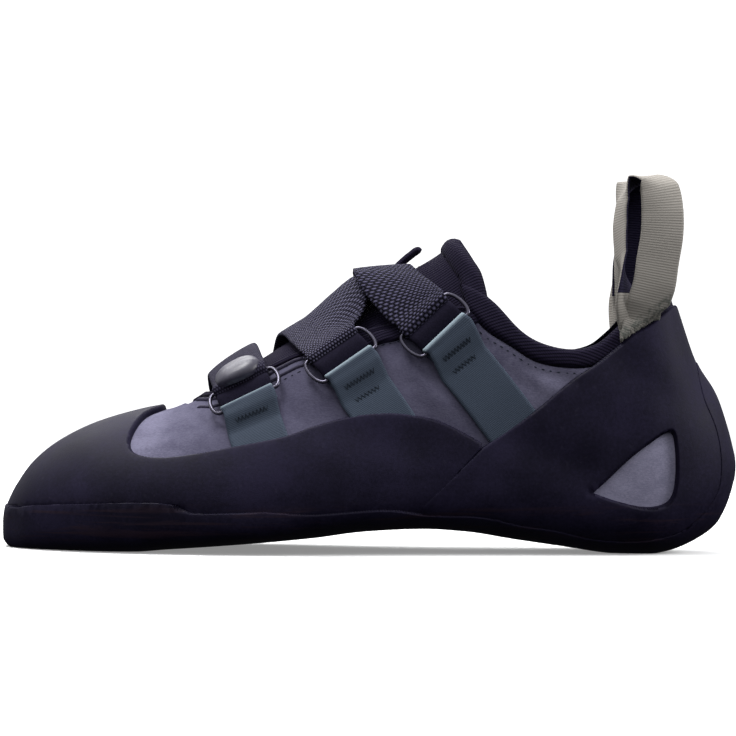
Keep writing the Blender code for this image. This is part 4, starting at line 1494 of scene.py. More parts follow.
class Painter:
    """Builds the nodes of one material."""

    def __init__(self, name: str) -> None:
        """Start a material.

        Args:
            name: its name.
        """
        self.material = bpy.data.materials.new(name)
        self.material.use_nodes = True
        self.tree = self.material.node_tree
        self.surface = self.tree.nodes["Principled BSDF"]

    def feed(self, slot: bpy.types.NodeSocket, value: Signal | Colour | float) -> None:
        """Set an input socket to a constant or link it to a signal.

        Args:
            slot: the input.
            value: the constant or the signal.
        """
        if isinstance(value, Signal):
            self.tree.links.new(value.socket, slot)
        elif isinstance(value, tuple) and len(value) == 3 and slot.type == "RGBA":
            slot.default_value = (*value, 1.0)
        else:
            slot.default_value = value

    def node(self, kind: str, settings: dict | None = None,
             **inputs: Signal | Colour | float) -> bpy.types.Node:
        """A node of a kind, with its settings made first and its inputs fed after.

        Args:
            kind: the kind of node.
            settings: its settings by name.
            inputs: its inputs by name, with _ for a space.

        Returns:
            The node.
        """
        made = self.tree.nodes.new(kind)
        for name, value in (settings or {}).items():
            setattr(made, name, value)
        for name, value in inputs.items():
            self.feed(made.inputs[name.replace("_", " ")], value)
        return made

    def where(self, stretch: Colour = (1.0, 1.0, 1.0)) -> Signal:
        """The place on the object in metres, stretched along its axes.

        Args:
            stretch: a factor for each axis.

        Returns:
            The place.
        """
        place = Signal(self, self.node("ShaderNodeTexCoord").outputs["Object"])
        if stretch == (1.0, 1.0, 1.0):
            return place
        scaled = self.node("ShaderNodeVectorMath", {"operation": "MULTIPLY"})
        self.feed(scaled.inputs[0], place)
        scaled.inputs[1].default_value = stretch
        return Signal(self, scaled.outputs[0])

    def axes(self) -> tuple[Signal, Signal, Signal]:
        """The place on the object as three signals."""
        split = self.node("ShaderNodeSeparateXYZ")
        self.feed(split.inputs[0], self.where())
        return tuple(Signal(self, out) for out in split.outputs)

    def run(self) -> tuple[Signal, Signal]:
        """How far along and across the piece its cloth is, in metres."""
        split = self.node("ShaderNodeSeparateXYZ")
        place = self.node("ShaderNodeUVMap", {"uv_map": "UVMap"})
        self.tree.links.new(place.outputs[0], split.inputs[0])
        return Signal(self, split.outputs[0]), Signal(self, split.outputs[1])

    def noise(self, scale: float, detail: float = 3.0, rough: float = 0.55,
              stretch: Colour = (1.0, 1.0, 1.0), twist: float = 0.0) -> Signal:
        """Cloudy variation from nought to one, with so many clouds to the metre."""
        made = self.node("ShaderNodeTexNoise", None, Vector=self.where(stretch), Scale=scale,
                         Detail=detail, Roughness=rough, Distortion=twist)
        return Signal(self, made.outputs["Fac"])

    def mix(self, a: Signal | Colour, b: Signal | Colour, share: Signal | float) -> Signal:
        """One colour turning into another.

        Args:
            a: the colour at nought.
            b: the colour at one.
            share: how far it has turned.

        Returns:
            The colour.
        """
        made = self.node("ShaderNodeMix", {"data_type": "RGBA"})
        self.feed(made.inputs[0], share)
        self.feed(made.inputs[6], a)
        self.feed(made.inputs[7], b)
        return Signal(self, made.outputs[2])

    def bump(self, height: Signal, depth: float, strength: float = 1.0,
             under: Signal | None = None) -> Signal:
        """A normal from a height in shares of depth metres.

        Args:
            height: the height.
            depth: how deep it is, in metres.
            strength: how much of it shows.
            under: a normal below it.

        Returns:
            The normal.
        """
        made = self.node("ShaderNodeBump", None, Height=height, Distance=depth, Strength=strength)
        if under is not None:
            self.feed(made.inputs["Normal"], under)
        return Signal(self, made.outputs["Normal"])

    def finish(self, **inputs: Signal | Colour | float) -> bpy.types.Material:
        """Feed the surface's inputs and give the material back.

        Args:
            inputs: the surface's inputs by name, with _ for a space.

        Returns:
            The material.
        """
        for name, value in inputs.items():
            self.feed(self.surface.inputs[name.replace("_", " ")], value)
        return self.material


@dataclass(frozen=True)
class Rubber:
    """Matt climbing rubber, dusty, with scuffed streaks low on the side."""

    name: str
    deep: Colour = (0.0050, 0.0036, 0.0140)
    dusty: Colour = (0.0175, 0.0140, 0.0390)
    worn: Colour = (0.0270, 0.0150, 0.0250)
    shine: float = 0.13
    gloss: float = 0.50

    def paint(self) -> bpy.types.Material:
        """The rubber's material."""
        p = Painter(self.name)
        _, _, z = p.axes()
        clouds = p.noise(38.0, 4.0, 0.6)
        fine = p.noise(900.0, 3.0, 0.6)
        grain = p.noise(3600.0, 2.0, 0.6)
        streaks = p.noise(60.0, 5.0, 0.65, (0.35, 0.35, 6.0), 0.6)
        specks = p.noise(420.0, 2.0, 0.5).ramp(0.66, 0.74)
        base = p.mix(self.deep, self.dusty, (clouds * 0.8 + fine * 0.4).ramp(0.40, 0.86))
        band = z.ramp(0.002, 0.006) * (1.0 - z.ramp(0.013, 0.020))
        base = p.mix(base, self.worn, streaks.ramp(0.50, 0.66) * band * 0.75)
        base = p.mix(base, (0.12, 0.11, 0.15), specks * 0.04)
        rough = clouds.ramp(0.3, 0.7, self.gloss, self.gloss + 0.12) + fine * 0.10
        soft = p.bump(grain, 0.00006, 0.5)
        shape = p.bump(fine * 0.6 + streaks * 0.4, 0.00020, 0.35, soft)
        return p.finish(Base_Color=base, Roughness=rough, Normal=shape,
                        Specular_IOR_Level=self.shine)


@dataclass(frozen=True)
class Suede:
    """Split leather with a short nap, with painted shade over the quarter and a painted highlight in
    the heel window.
    """

    name: str
    light: Colour = (0.230, 0.221, 0.315)
    dark: Colour = (0.112, 0.106, 0.164)
    shaded: Colour = (0.036, 0.033, 0.062)
    # Painted highlight colour for the suede in the heel window.
    heel_highlight: Colour = (0.340, 0.328, 0.455)

    def paint(self) -> bpy.types.Material:
        """The leather's material."""
        p = Painter(self.name)
        clouds = p.noise(55.0, 4.0, 0.6, (1.0, 1.0, 1.6), 0.5)
        nap = p.noise(1500.0, 4.0, 0.7, (0.6, 1.0, 1.3))
        hairs = p.noise(5200.0, 2.0, 0.7)
        tone = (clouds * 0.65 + nap * 0.55).ramp(0.38, 0.82)
        base = p.mix(self.dark, self.light, tone)
        x, _, z = p.axes()
        # Painted shade: the quarter round the closures is darkened towards the shaded colour, less so
        # towards the heel.
        quarter_shade = x.ramp(-0.090, -0.045) * (1.0 - x.ramp(0.030, 0.075) * 0.75)
        base = p.mix(base, self.shaded, quarter_shade * 0.62)
        # Painted highlight: the suede low in the heel window is lightened where light falls on its
        # bulge.
        heel = x.ramp(0.064, 0.082) * (1.0 - z.ramp(0.045, 0.060))
        base = p.mix(base, self.heel_highlight, heel * tone.ramp(0.0, 1.0, 0.5, 0.95))
        fine = p.bump(hairs, 0.00010, 0.6)
        shape = p.bump(nap, 0.00025, 0.45, fine)
        return p.finish(Base_Color=base, Roughness=0.93, Normal=shape, Specular_IOR_Level=0.05,
                        Sheen_Weight=0.10, Sheen_Roughness=0.45, Sheen_Tint=(0.80, 0.78, 0.95))


# Where the tapes' sewn feet end: a slanting line on the side of the heel
SEWN_AT = 0.0900
SEWN_SLOPE = 0.71
SEWN_EDGE = (0.0795, 0.0815)
SEWN_TONE = (0.150, 0.155, 0.140)


class Weave(Enum):
    """How a cloth's threads run."""

    RIB = "rib"
    LOOPS = "loops"
    KNIT = "knit"


@dataclass(frozen=True)
class Cloth:
    """Woven or knitted cloth, its threads laid out along the piece."""

    name: str
    weave: Weave
    base: Colour
    thread: Colour
    pitch: float = 0.0011
    width: float = 0.0016
    depth: float = 0.0003
    rough: float = 0.85
    sheen: float = 0.03
    # A painted highlight colour, laid on the band between the two distances in fold, where light
    # catches the roll.
    painted_glint: Colour | None = None
    fold: tuple[float, float] = (0.0045, 0.0078)
    sewn: bool = False

    def paint(self) -> bpy.types.Material:
        """The cloth's material."""
        p = Painter(self.name)
        u, v = p.run()
        fuzz = p.noise(2600.0, 3.0, 0.65)
        clouds = p.noise(90.0, 3.0, 0.6)
        row = (u / self.pitch).whole().rest(2.0)
        along = (u * (math.pi / self.pitch)).sine().size()
        if self.weave is Weave.RIB:
            height = along * 0.8 + (v * (2 * math.pi / (self.width * 0.5))).sine().size() * 0.2
        elif self.weave is Weave.LOOPS:
            across = ((v / self.width + row * 0.5) * math.pi).sine().size()
            height = along * across
        else:
            step = u / self.pitch + (v / self.width).rest(1.0).size() * 0.8
            slant = (step * math.pi).sine().size()
            height = (v * (math.pi / self.width)).sine().size() * 0.7 + slant * 0.3
        tone = (height * 0.8 + fuzz * 0.25 + clouds * 0.15).ramp(0.35, 1.05)
        base = p.mix(self.base, self.thread, tone)
        # Painted highlight along the outer top of the fold.
        if self.painted_glint:
            start, end = self.fold
            middle = (start + end) / 2
            lit = u.ramp(start, middle) * (1.0 - u.ramp(middle, end))
            base = p.mix(base, self.painted_glint, lit * fuzz.ramp(0.2, 0.6, 0.45, 0.9))
        if self.sewn:
            x, _, z = p.axes()
            low = 1.0 - (z - (x - SEWN_AT) * SEWN_SLOPE).ramp(*SEWN_EDGE)
            coarse = p.noise(700.0, 2.0, 0.5)
            base = p.mix(base, SEWN_TONE, low * coarse.ramp(0.40, 0.60, 0.25, 0.95))
            height = height + low * coarse * 2.0
        fine = p.bump(fuzz, 0.00010, 0.5)
        shape = p.bump(height, self.depth, 0.8, fine)
        return p.finish(Base_Color=base, Roughness=self.rough, Normal=shape,
                        Specular_IOR_Level=0.06, Sheen_Weight=self.sheen, Sheen_Roughness=0.5)


@dataclass(frozen=True)
class Wire:
    """Dark coated wire of the rings."""

    name: str
    colour: Colour = (0.085, 0.080, 0.110)

    def paint(self) -> bpy.types.Material:
        """The wire's material."""
        p = Painter(self.name)
        worn = p.noise(600.0, 4.0, 0.6)
        return p.finish(Base_Color=p.mix(self.colour, (0.26, 0.26, 0.32), worn.ramp(0.60, 0.78)),
                        Roughness=worn.ramp(0.3, 0.7, 0.18, 0.32), Metallic=0.8,
                        Normal=p.bump(worn, 0.00005, 0.2))


@dataclass(frozen=True)
class Plain:
    """A plain matt finish with a little variation."""

    name: str
    colour: Colour
    rough: float = 0.8

    def paint(self) -> bpy.types.Material:
        """The finish's material."""
        p = Painter(self.name)
        fuzz = p.noise(1800.0, 3.0, 0.6)
        shade = tuple(c * 0.6 for c in self.colour)
        return p.finish(Base_Color=p.mix(shade, self.colour, fuzz.ramp(0.3, 0.7)),
                        Roughness=self.rough, Normal=p.bump(fuzz, 0.0001, 0.4),
                        Specular_IOR_Level=0.06)


SOLE_RUBBER = Rubber("sole_rubber")
RAND_RUBBER = Rubber("rand_rubber")
PAD_RUBBER = Rubber("pad_rubber", (0.020, 0.017, 0.034), (0.040, 0.036, 0.064), (0.05, 0.05, 0.06),
                    0.70, 0.26)
SUEDE = Suede("suede")
LINING = Plain("lining", (0.014, 0.012, 0.024), 0.95)
BOARD = Plain("board", (0.060, 0.054, 0.080), 0.9)
PIPING = Plain("piping", (0.040, 0.036, 0.064), 0.6)
# Near-black painted shade for the sheets that fill the rings' openings.
RING_SHADE = Plain("ring_shade", (0.013, 0.011, 0.024), 0.9)
THREAD = Plain("thread", (0.026, 0.034, 0.048), 0.7)
BLACK_KNIT = Cloth("knit", Weave.KNIT, (0.005, 0.004, 0.011), (0.017, 0.013, 0.032), 0.0008, 0.0012,
                   0.0003)
# The tab's webbing, with a painted highlight on its fold round the ring.
TAB_CLOTH = Cloth("tab_webbing", Weave.RIB, (0.036, 0.048, 0.070), (0.068, 0.087, 0.124), 0.0006,
                  0.0009, 0.00010, 0.6, painted_glint=(0.36, 0.45, 0.50), fold=(0.0050, 0.0092))
FRONT_CLOTH = Cloth("strap_webbing_front", Weave.LOOPS, (0.012, 0.010, 0.022), (0.060, 0.054, 0.094),
                    0.0008, 0.0010, 0.0002, 0.7)
MESH_CLOTH = Cloth("strap_webbing_mesh", Weave.LOOPS, (0.006, 0.005, 0.013), (0.125, 0.117, 0.190),
                   0.0009, 0.0012, 0.0005, 0.7)
LOOP_CLOTH = Cloth("strap_webbing", Weave.LOOPS, (0.004, 0.003, 0.009), (0.090, 0.084, 0.150),
                   0.0011, 0.0019, 0.0006, 0.7)
TAPE_CLOTH = Cloth("loop_webbing", Weave.RIB, (0.300, 0.278, 0.250), (0.385, 0.360, 0.328), 0.0009,
                   0.0007, 0.00012, 0.8, sewn=True)
TAPE_BACK = Cloth("loop_back", Weave.RIB, (0.012, 0.010, 0.028), (0.026, 0.022, 0.050), 0.0009,
                  0.0007, 0.0002, 0.8)
RING_WIRE_FINISH = Wire("wire")


Finish = Rubber | Suede | Cloth | Wire | Plain


def dress(piece: bpy.types.Object, finish: Finish, node: str | None = None) -> None:
    """Paint a piece and let it ride on the shoe's body.

    Args:
        piece: the piece's object.
        finish: what it is painted with.
        node: the CAD node that it replaces, none for one that is added.
    """
    piece.data.materials.append(finish.paint())
    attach(piece, BODY)
    if node:
        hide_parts(node)


def raised(height: float) -> Profile:
    """A profile that lifts the whole of a patch by one height."""
    return lambda points, gap: np.full(len(points), height)


def side_place(mark: Mark, height: float) -> tuple[float, float]:
    """A mark's place on the side of the shoe in metres, its share up being of a height."""
    return mark.at * LENGTH - LENGTH / 2, mark.up * height


def both_sides(patch: Patch, name: str) -> bpy.types.Object:
    """A panel laid on both sides of the foot as one object.

    Args:
        patch: the panel.
        name: the object's name.

    Returns:
        The object.
    """
    sheet = Sheet()
    for side in Side:
        patch.lay(sheet, side)
    return sheet.build(name)


def route_on(line: Sequence, depth: float, side: Side, step: float) -> tuple[list, list]:
    """Points and outward directions of the form along a side line, evenly spaced.

    Args:
        line: the side line.
        depth: the layer's depth.
        side: the side of the foot.
        step: how far apart the points are.

    Returns:
        The points, and their directions.
    """
    chart = Chart(depth, side)
    fine = np.array(sampled(line, FINE_STEP))
    x = np.clip(fine[:, 0] + LENGTH / 2, chart.x[0], chart.x[-1])
    turn = chart.turn_of(x, fine[:, 1])
    points = chart.point(x, turn)
    normals = chart.normals(x, turn)
    points = points + normals * relief(points, side)[:, None]
    kept = [0]
    for k in range(1, len(points)):
        if np.linalg.norm(points[k] - points[kept[-1]]) >= step:
            kept.append(k)
    return [Vector(points[k]) for k in kept], [Vector(normals[k]) for k in kept]


STITCH = 0.0018
STITCH_GAP = 0.0010
STITCH_RADIUS = 0.00022


def stitched(sheet: Sheet, route: Sequence[Vector], outs: Sequence[Vector]) -> None:
    """Add a row of stitches along a finely stepped route.

    Args:
        sheet: what the stitches are added to.
        route: the finely stepped route.
        outs: a direction for each of its points.
    """
    travelled = 0.0
    run = []
    for k in range(1, len(route)):
        phase = travelled % (STITCH + STITCH_GAP)
        if phase < STITCH:
            run.append(k)
        elif run:
            _one_stitch(sheet, route, outs, run)
            run = []
        travelled += (route[k] - route[k - 1]).length
    if len(run) > 2:
        _one_stitch(sheet, route, outs, run)


def _one_stitch(sheet: Sheet, route: Sequence[Vector], outs: Sequence[Vector],
                run: Sequence[int]) -> None:
    """Add one stitch.

    Args:
        sheet: what it is added to.
        route: the route.
        outs: the route's directions.
        run: the route's points it goes over.
    """
    if len(run) < 2:
        return
    ends = [route[run[0]], route[run[len(run) // 2]], route[run[-1]]]
    lifts = [outs[run[0]], outs[run[len(run) // 2]], outs[run[-1]]]
    heights = (-0.3, 0.75, -0.3)
    line = [p + n * STITCH_RADIUS * h for p, n, h in zip(ends, lifts, heights)]
    Tube(line, STITCH_RADIUS, 6).lay(sheet, 0.8, lifts)


@dataclass
class Bottom:
    """The outsole and the two rands: everything that is rubber."""

    rounding: float = 0.0012
    sole_rounding: float = 0.0011
    tuck: float = 0.0015
    heel_depth: float = 0.0003

    def build(self) -> None:
        """Make the three pieces of rubber."""
        self._outsole()
        self._toe_rand()
        self._heel_rand()

    def _outsole(self) -> None:
        """The sole, with its blunt ends."""
        line = drawn(SOLE_LINE, WIDEST_HEIGHT)
        top = line[-1][1]
        outline = line + [(LENGTH / 2, top), (LENGTH / 2, -0.02), (-LENGTH / 2 - 0.01, -0.02)]
        sheet = Sheet()
        patch = Patch(outline, 0.0, rounding=self.sole_rounding, rim=0.0012, pitch=0.0018, floor=True)
        for side in Side:
            patch.lay(sheet, side)
        for at, way in ((0.0, -1), (LENGTH, 1)):
            self._cap(sheet, at, way)
        dress(sheet.build("outsole_look", sharp=40.0), SOLE_RUBBER, "outsole")

    @staticmethod
    def _cap(sheet: Sheet, at: float, way: int) -> None:
        """The blunt end of the sole, slightly domed.

        Args:
            sheet: the sole.
            at: the length from the toe.
            way: minus one for the toe's end, one for the heel's.
        """
        turns = np.linspace(np.pi / 2, -np.pi / 2, 48)
        ring = np.concatenate([Chart(0.0, Side.OUTER).point(np.full(48, at), turns),
                               Chart(0.0, Side.INNER).point(np.full(48, at), turns)[::-1]])
        middle = ring.mean(axis=0)
        points = []
        for share in (1.0, 0.93, 0.8, 0.6, 0.35, 0.1):
            row = middle + (ring - middle) * share
            row[:, 0] += way * 0.0006 * (1 - share ** 2)
            points.append(row)
        count = len(ring)
        faces = []
        for k in range(len(points) - 1):
            for s in range(count):
                nxt = (s + 1) % count
                face = (k * count + s, k * count + nxt, (k + 1) * count + nxt, (k + 1) * count + s)
                faces.append(face if way < 0 else face[::-1])
        centre = (len(points) - 1) * count
        faces.append(tuple(range(centre, centre + count)))
        points = np.concatenate(points)
        points[:, 2] = np.maximum(points[:, 2], 0.0)
        sheet.add(points, faces, points[:, 1:3])

    def _toe_rand(self) -> None:
        """The rand round the toe and along the arch."""
        top = drawn(TOE_RAND_TOP, TAIL_HEIGHT)
        foot = side_place(RAND_SEAM_FOOT, HEEL_HEIGHT)
        head = side_place(HEEL_RAND_TOP[0], HEEL_HEIGHT)
        sole = [(x, z - self.tuck) for x, z in drawn(SOLE_LINE[:16], WIDEST_HEIGHT) if x < foot[0]]
        outline = top + [head, (foot[0], foot[1] - 0.003)] + sole[::-1]
        outline += [(-LENGTH / 2, 0.060), (top[0][0], 0.060)]
        patch = Patch(outline, RAND_OUT, rounding=self.rounding, rim=0.0014, pitch=0.0017)
        dress(both_sides(patch, "toe_rand_look"), RAND_RUBBER, "toe_rand")

    def _heel_rand(self) -> None:
        """The rand round the heel, with its window."""
        foot = side_place(RAND_SEAM_FOOT, HEEL_HEIGHT)
        top = drawn(HEEL_RAND_TOP, HEEL_HEIGHT)
        slope = (top[0][0] - foot[0]) / (top[0][1] - foot[1])
        line = drawn(SOLE_LINE, WIDEST_HEIGHT)
        sole = [(x, z - self.tuck) for x, z in line if foot[0] < x < 0.41 * LENGTH]
        low = (sole[0][0] - self.tuck, sole[0][1])
        outline = [low, (foot[0] + slope * 0.001, foot[1] + 0.001)] + top
        outline += [(LENGTH / 2, 0.100), (LENGTH / 2, 0.004)] + sole[::-1]
        window = drawn(HEEL_WINDOW + (HEEL_WINDOW[0],), HEEL_HEIGHT)[:-1]
        patch = Patch(outline, self.heel_depth, holes=[window], rounding=self.rounding, rim=0.0018,
                      pitch=0.0017)
        dress(both_sides(patch, "heel_rand_look"), RAND_RUBBER, "heel_rand")


OPENING = drawn(OPENING_LINE, COLLAR_HEIGHT)


@dataclass
class Top:
    """The suede shell with its lining, piping and seams, the knitted cuff and the tongue."""

    def build(self) -> None:
        """Make the soft pieces."""
        self._shell()
        self._piping()
        self._lining_roll_and_shade()
        self._cuff()
        self._tongue()

    @staticmethod
    def _outline() -> list[tuple[float, float]]:
        """The shell's outline, open where the foot goes in.

        Returns:
            Its places.
        """
        line = OPENING
        start = line[0][0]
        outline = [(-LENGTH / 2, HIGH_ABOVE), (start, HIGH_ABOVE)] + line
        outline += [(line[-1][0], HIGH_ABOVE), (LENGTH / 2, HIGH_ABOVE)]
        return outline + [(LENGTH / 2, 0.009), (-LENGTH / 2, 0.009)]

    def _shell(self) -> None:
        """The suede and its lining."""
        outline = self._outline()
        shell = both_sides(Patch(outline, UPPER_OUT, rounding=0.0005, rim=UPPER_WALL - 0.0005),
                           "upper_look")
        dress(shell, SUEDE, "upper")
        lining = both_sides(Patch(outline, UPPER_IN, rounding=0.0, rim=0.0, pitch=0.0024,
                                  inward=True), "upper_lining")
        dress(lining, LINING)

    def _piping(self) -> None:
        """The two cords along the throat, and the sewing along the collar."""
        line = OPENING[15:65]
        sheet = Sheet()
        for side in Side:
            for drop, radius in ((0.0002, 0.0009), (0.0026, 0.0007)):
                moved = grown(line, drop)
                route, outs = route_on(moved, UPPER_OUT, side, 0.0012)
                Tube(route, radius, 8).lay(sheet, 0.8, outs)
        dress(sheet.build("throat_piping"), PIPING)
        seam = Sheet()
        for side in Side:
            for first, last, drop in ((20, 62, 0.0044), (70, 116, 0.0018)):
                moved = grown(OPENING[first:last], drop)
                stitched(seam, *route_on(moved, UPPER_OUT, side, 0.00045))
        dress(seam.build("collar_sewing"), THREAD)

    def _cuff(self) -> None:
        """The knitted cuff over the collar."""
        lower = drawn(OPENING_LINE[9:], COLLAR_HEIGHT)
        upper = drawn(CUFF_TOP, COLLAR_HEIGHT)
        front = (OPENING_LINE[8].at * LENGTH - LENGTH / 2, COLLAR_HEIGHT * OPENING_LINE[8].up * 1.01)
        outline = [front] + lower + upper[::-1]
        sheet = Sheet()
        for side in Side:
            Patch(outline, UPPER_OUT, rounding=0.0022, rim=0.0016, pitch=0.0012,
                  profile=raised(0.0011)).lay(sheet, side)
            Patch(outline, UPPER_IN, rounding=0.0008, rim=0.0, pitch=0.0016,
                  inward=True).lay(sheet, side)
        dress(sheet.build("cuff_look"), BLACK_KNIT, "collar_cuff")

    @staticmethod
    def _puffed(points: np.ndarray, gap: np.ndarray) -> np.ndarray:
        """Raise a padded strip, with shallow dents where it is gathered."""
        waves = np.sin(points[:, 0] * 900 + points[:, 2] * 700) * 0.00018
        return np.full(len(points), 0.0021) + waves * np.clip(gap / 0.002, 0, 1)

    def _lining_roll_and_shade(self) -> None:
        """The soft lining that rolls out over the throat's edge, and a raised near-black strip of
        painted shade under the upper strap.
        """
        line = grown(OPENING[13:66], -0.0010)
        sheet = Sheet()
        for side in Side:
            route, outs = route_on(line, UPPER_IN - 0.0002, side, 0.0012)
            Tube(route, 0.0015, 10).lay(sheet, 1.0, outs)
            # Painted shade: a raised near-black strip along the throat, for the dark hollow under the
            # middle and upper straps.
            low = OPENING[36:58]
            Patch(grown(low, -0.0006) + grown(low, 0.0040)[::-1], UPPER_OUT, rounding=0.0014,
                  rim=0.0012, pitch=0.0012, profile=raised(0.0014)).lay(sheet, side)
        dress(sheet.build("throat_roll_and_shade"), BLACK_KNIT)

    def _tongue(self) -> None:
        """The tongue with its gathered top."""
        edge = drawn(TONGUE_EDGE, COLLAR_HEIGHT)
        outline = edge + [(edge[-1][0], 0.15), (edge[0][0], 0.15)]
        sheet = Sheet()
        for side in Side:
            Patch(outline, LINED, rounding=0.0004, rim=0.0014, pitch=0.0015).lay(sheet, side)
            Patch(outline, LINED + TONGUE_THICKNESS, rounding=0.0, rim=0.0, pitch=0.0022,
                  inward=True).lay(sheet, side)
        lip = edge[40:]
        fold = grown(edge, -0.0085)[40:]
        for side in Side:
            Patch(lip + fold[::-1], LINED, rounding=0.0034, rim=0.0, pitch=0.0011,
                  profile=self._puffed).lay(sheet, side)
            Patch(list(TONGUE_FOLD), LINED, rounding=0.0040, rim=0.0, pitch=0.0011,
                  profile=self._puffed).lay(sheet, side)
        dress(sheet.build("tongue_look"), BLACK_KNIT, "tongue")


def pad_bulge(along: float, share: float) -> float:
    """How much the front strap's rubber pad stands above its webbing."""
    reach = max(0.0, 1 - ((along - 0.48) / 0.26) ** 2)
    return PAD_RISE * math.sqrt(reach) * math.sqrt(max(0.0, 1 - (1.9 * share) ** 2))


class Tack(NamedTuple):
    """A row of zigzag sewing: its distance from the fold, its span, its height and its turns."""

    along: float
    span: float
    height: float
    turns: int


TACKS = (Tack(0.0072, 0.62, 0.0016, 9), Tack(0.0130, 0.50, 0.0014, 7))
LONG_TAB = 0.03
# A near-black sheet across each ring, painted shade for the ring's opening: shares of the way to a bar,
# and how high it stands
SHADE_SHEET_ARCH = (
    (-1.15, -0.0020), (-0.7, -0.0010), (-0.3, 0.0002), (0.1, 0.0008), (0.5, 0.0004), (0.9, -0.0012),
    (1.3, -0.0022),
)
SHADE_SHEET_SHARE = 0.97
SHADE_SHEET_THICKNESS = 0.0016
RING_HALF = (RING_WIDTH - RING_WIRE) / 2


@dataclass
class Fastening:
    """A ring, the tab that holds it and the strap threaded through it."""

    row: Closure
    cloth: Cloth

    def build(self) -> None:
        """Make the ring, the tab, the strap, what is sewn to them and the sheet of painted shade in the
        ring.
        """
        seat = Seat(self.row)
        self._ring(seat)
        tab = self._band(seat.folded(-seat.up, WEBBING, self.row.tab), TAB_WIDTH, WEBBING, "tab")
        tab.data.materials.append(TAB_CLOTH.paint())
        self._tacks(seat)
        self._ring_shade(seat)
        bulge = pad_bulge if self.row.name == "front" else None
        stations = seat.folded(seat.up, STRAP, self.row.strap, STRAP_FLOAT[self.row.name], self.row)
        strap = self._band(stations, STRAP_WIDTH, STRAP, "strap", bulge)
        strap.data.materials.append(self.cloth.paint())
        if self.row.name == "front":
            self._pad(Run(stations, STRAP_WIDTH, STRAP))

    def _tacks(self, seat: Seat) -> None:
        """The zigzag sewing that closes the tab round the ring.

        Args:
            seat: the ring's place.
        """
        run = Run(seat.folded(-seat.up, WEBBING, self.row.tab), TAB_WIDTH, WEBBING)
        sheet = Sheet()
        for row in TACKS if self.row.tab > LONG_TAB else TACKS[:1]:
            run.tack(sheet, row.along, row.span, row.height, row.turns)
        dress(sheet.build(f"tack_{self.row.name}"), THREAD)

    def _ring_shade(self, seat: Seat) -> None:
        """A near-black sheet that fills the ring between its two bars, painted shade standing in for
        the shadow in the ring's opening.

        Args:
            seat: the ring's place.
        """
        stations = [Station(seat.middle + seat.up * (RING_HALF * share) + seat.out * rise, seat.axis,
                            seat.out) for share, rise in SHADE_SHEET_ARCH]
        sheet = Sheet()
        Band(eased(stations, 4), STRAP_WIDTH * SHADE_SHEET_SHARE, SHADE_SHEET_THICKNESS, 10).lay(sheet)
        dress(sheet.build(f"web_{self.row.name}", sharp=70.0), RING_SHADE)

    def _pad(self, run: Run) -> None:
        """The plain moulded pad on the front strap.

        Args:
            run: the front strap's outer face.
        """
        sheet = Sheet()
        run.dome(sheet, along=0.0044, length=0.0076, span=0.0087, height=0.0038)
        dress(sheet.build("front_pad", sharp=60.0), PAD_RUBBER)

    def _band(self, stations: Sequence[Station], width: float, thickness: float, kind: str,
              bulge: Bulge | None = None) -> bpy.types.Object:
        """A ribbon that replaces the CAD's.

        Args:
            stations: its stations.
            width: its width.
            thickness: its thickness.
            kind: tab or strap.
            bulge: how much it stands above its own thickness.

        Returns:
            The piece.
        """
        sheet = Sheet()
        Band(eased(stations, 4), width, thickness, 12, bulge).lay(sheet)
        piece = sheet.build(f"{kind}_{self.row.name}_look", sharp=70.0)
        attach(piece, BODY)
        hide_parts(f"{kind}_{self.row.name}")
        return piece

    def _ring(self, seat: Seat) -> None:
        """The wire ring: two straight bars and two round ends.

        Args:
            seat: the ring's place.
        """
        straight = STRAP_WIDTH / 2 + GAP
        route = []
        for side in (1, -1):
            for step in range(17):
                angle = math.pi * (0.5 - step / 16)
                a = side * (straight + RING_END * math.cos(angle))
                climb = side * RING_HALF * math.sin(angle)
                route.append(seat.middle + seat.axis * a + seat.up * climb)
        sheet = Sheet()
        Tube(route, RING_WIRE / 2, 12, closed=True).lay(sheet)
        dress(sheet.build(f"ring_{self.row.name}_look"), RING_WIRE_FINISH, f"ring_{self.row.name}")


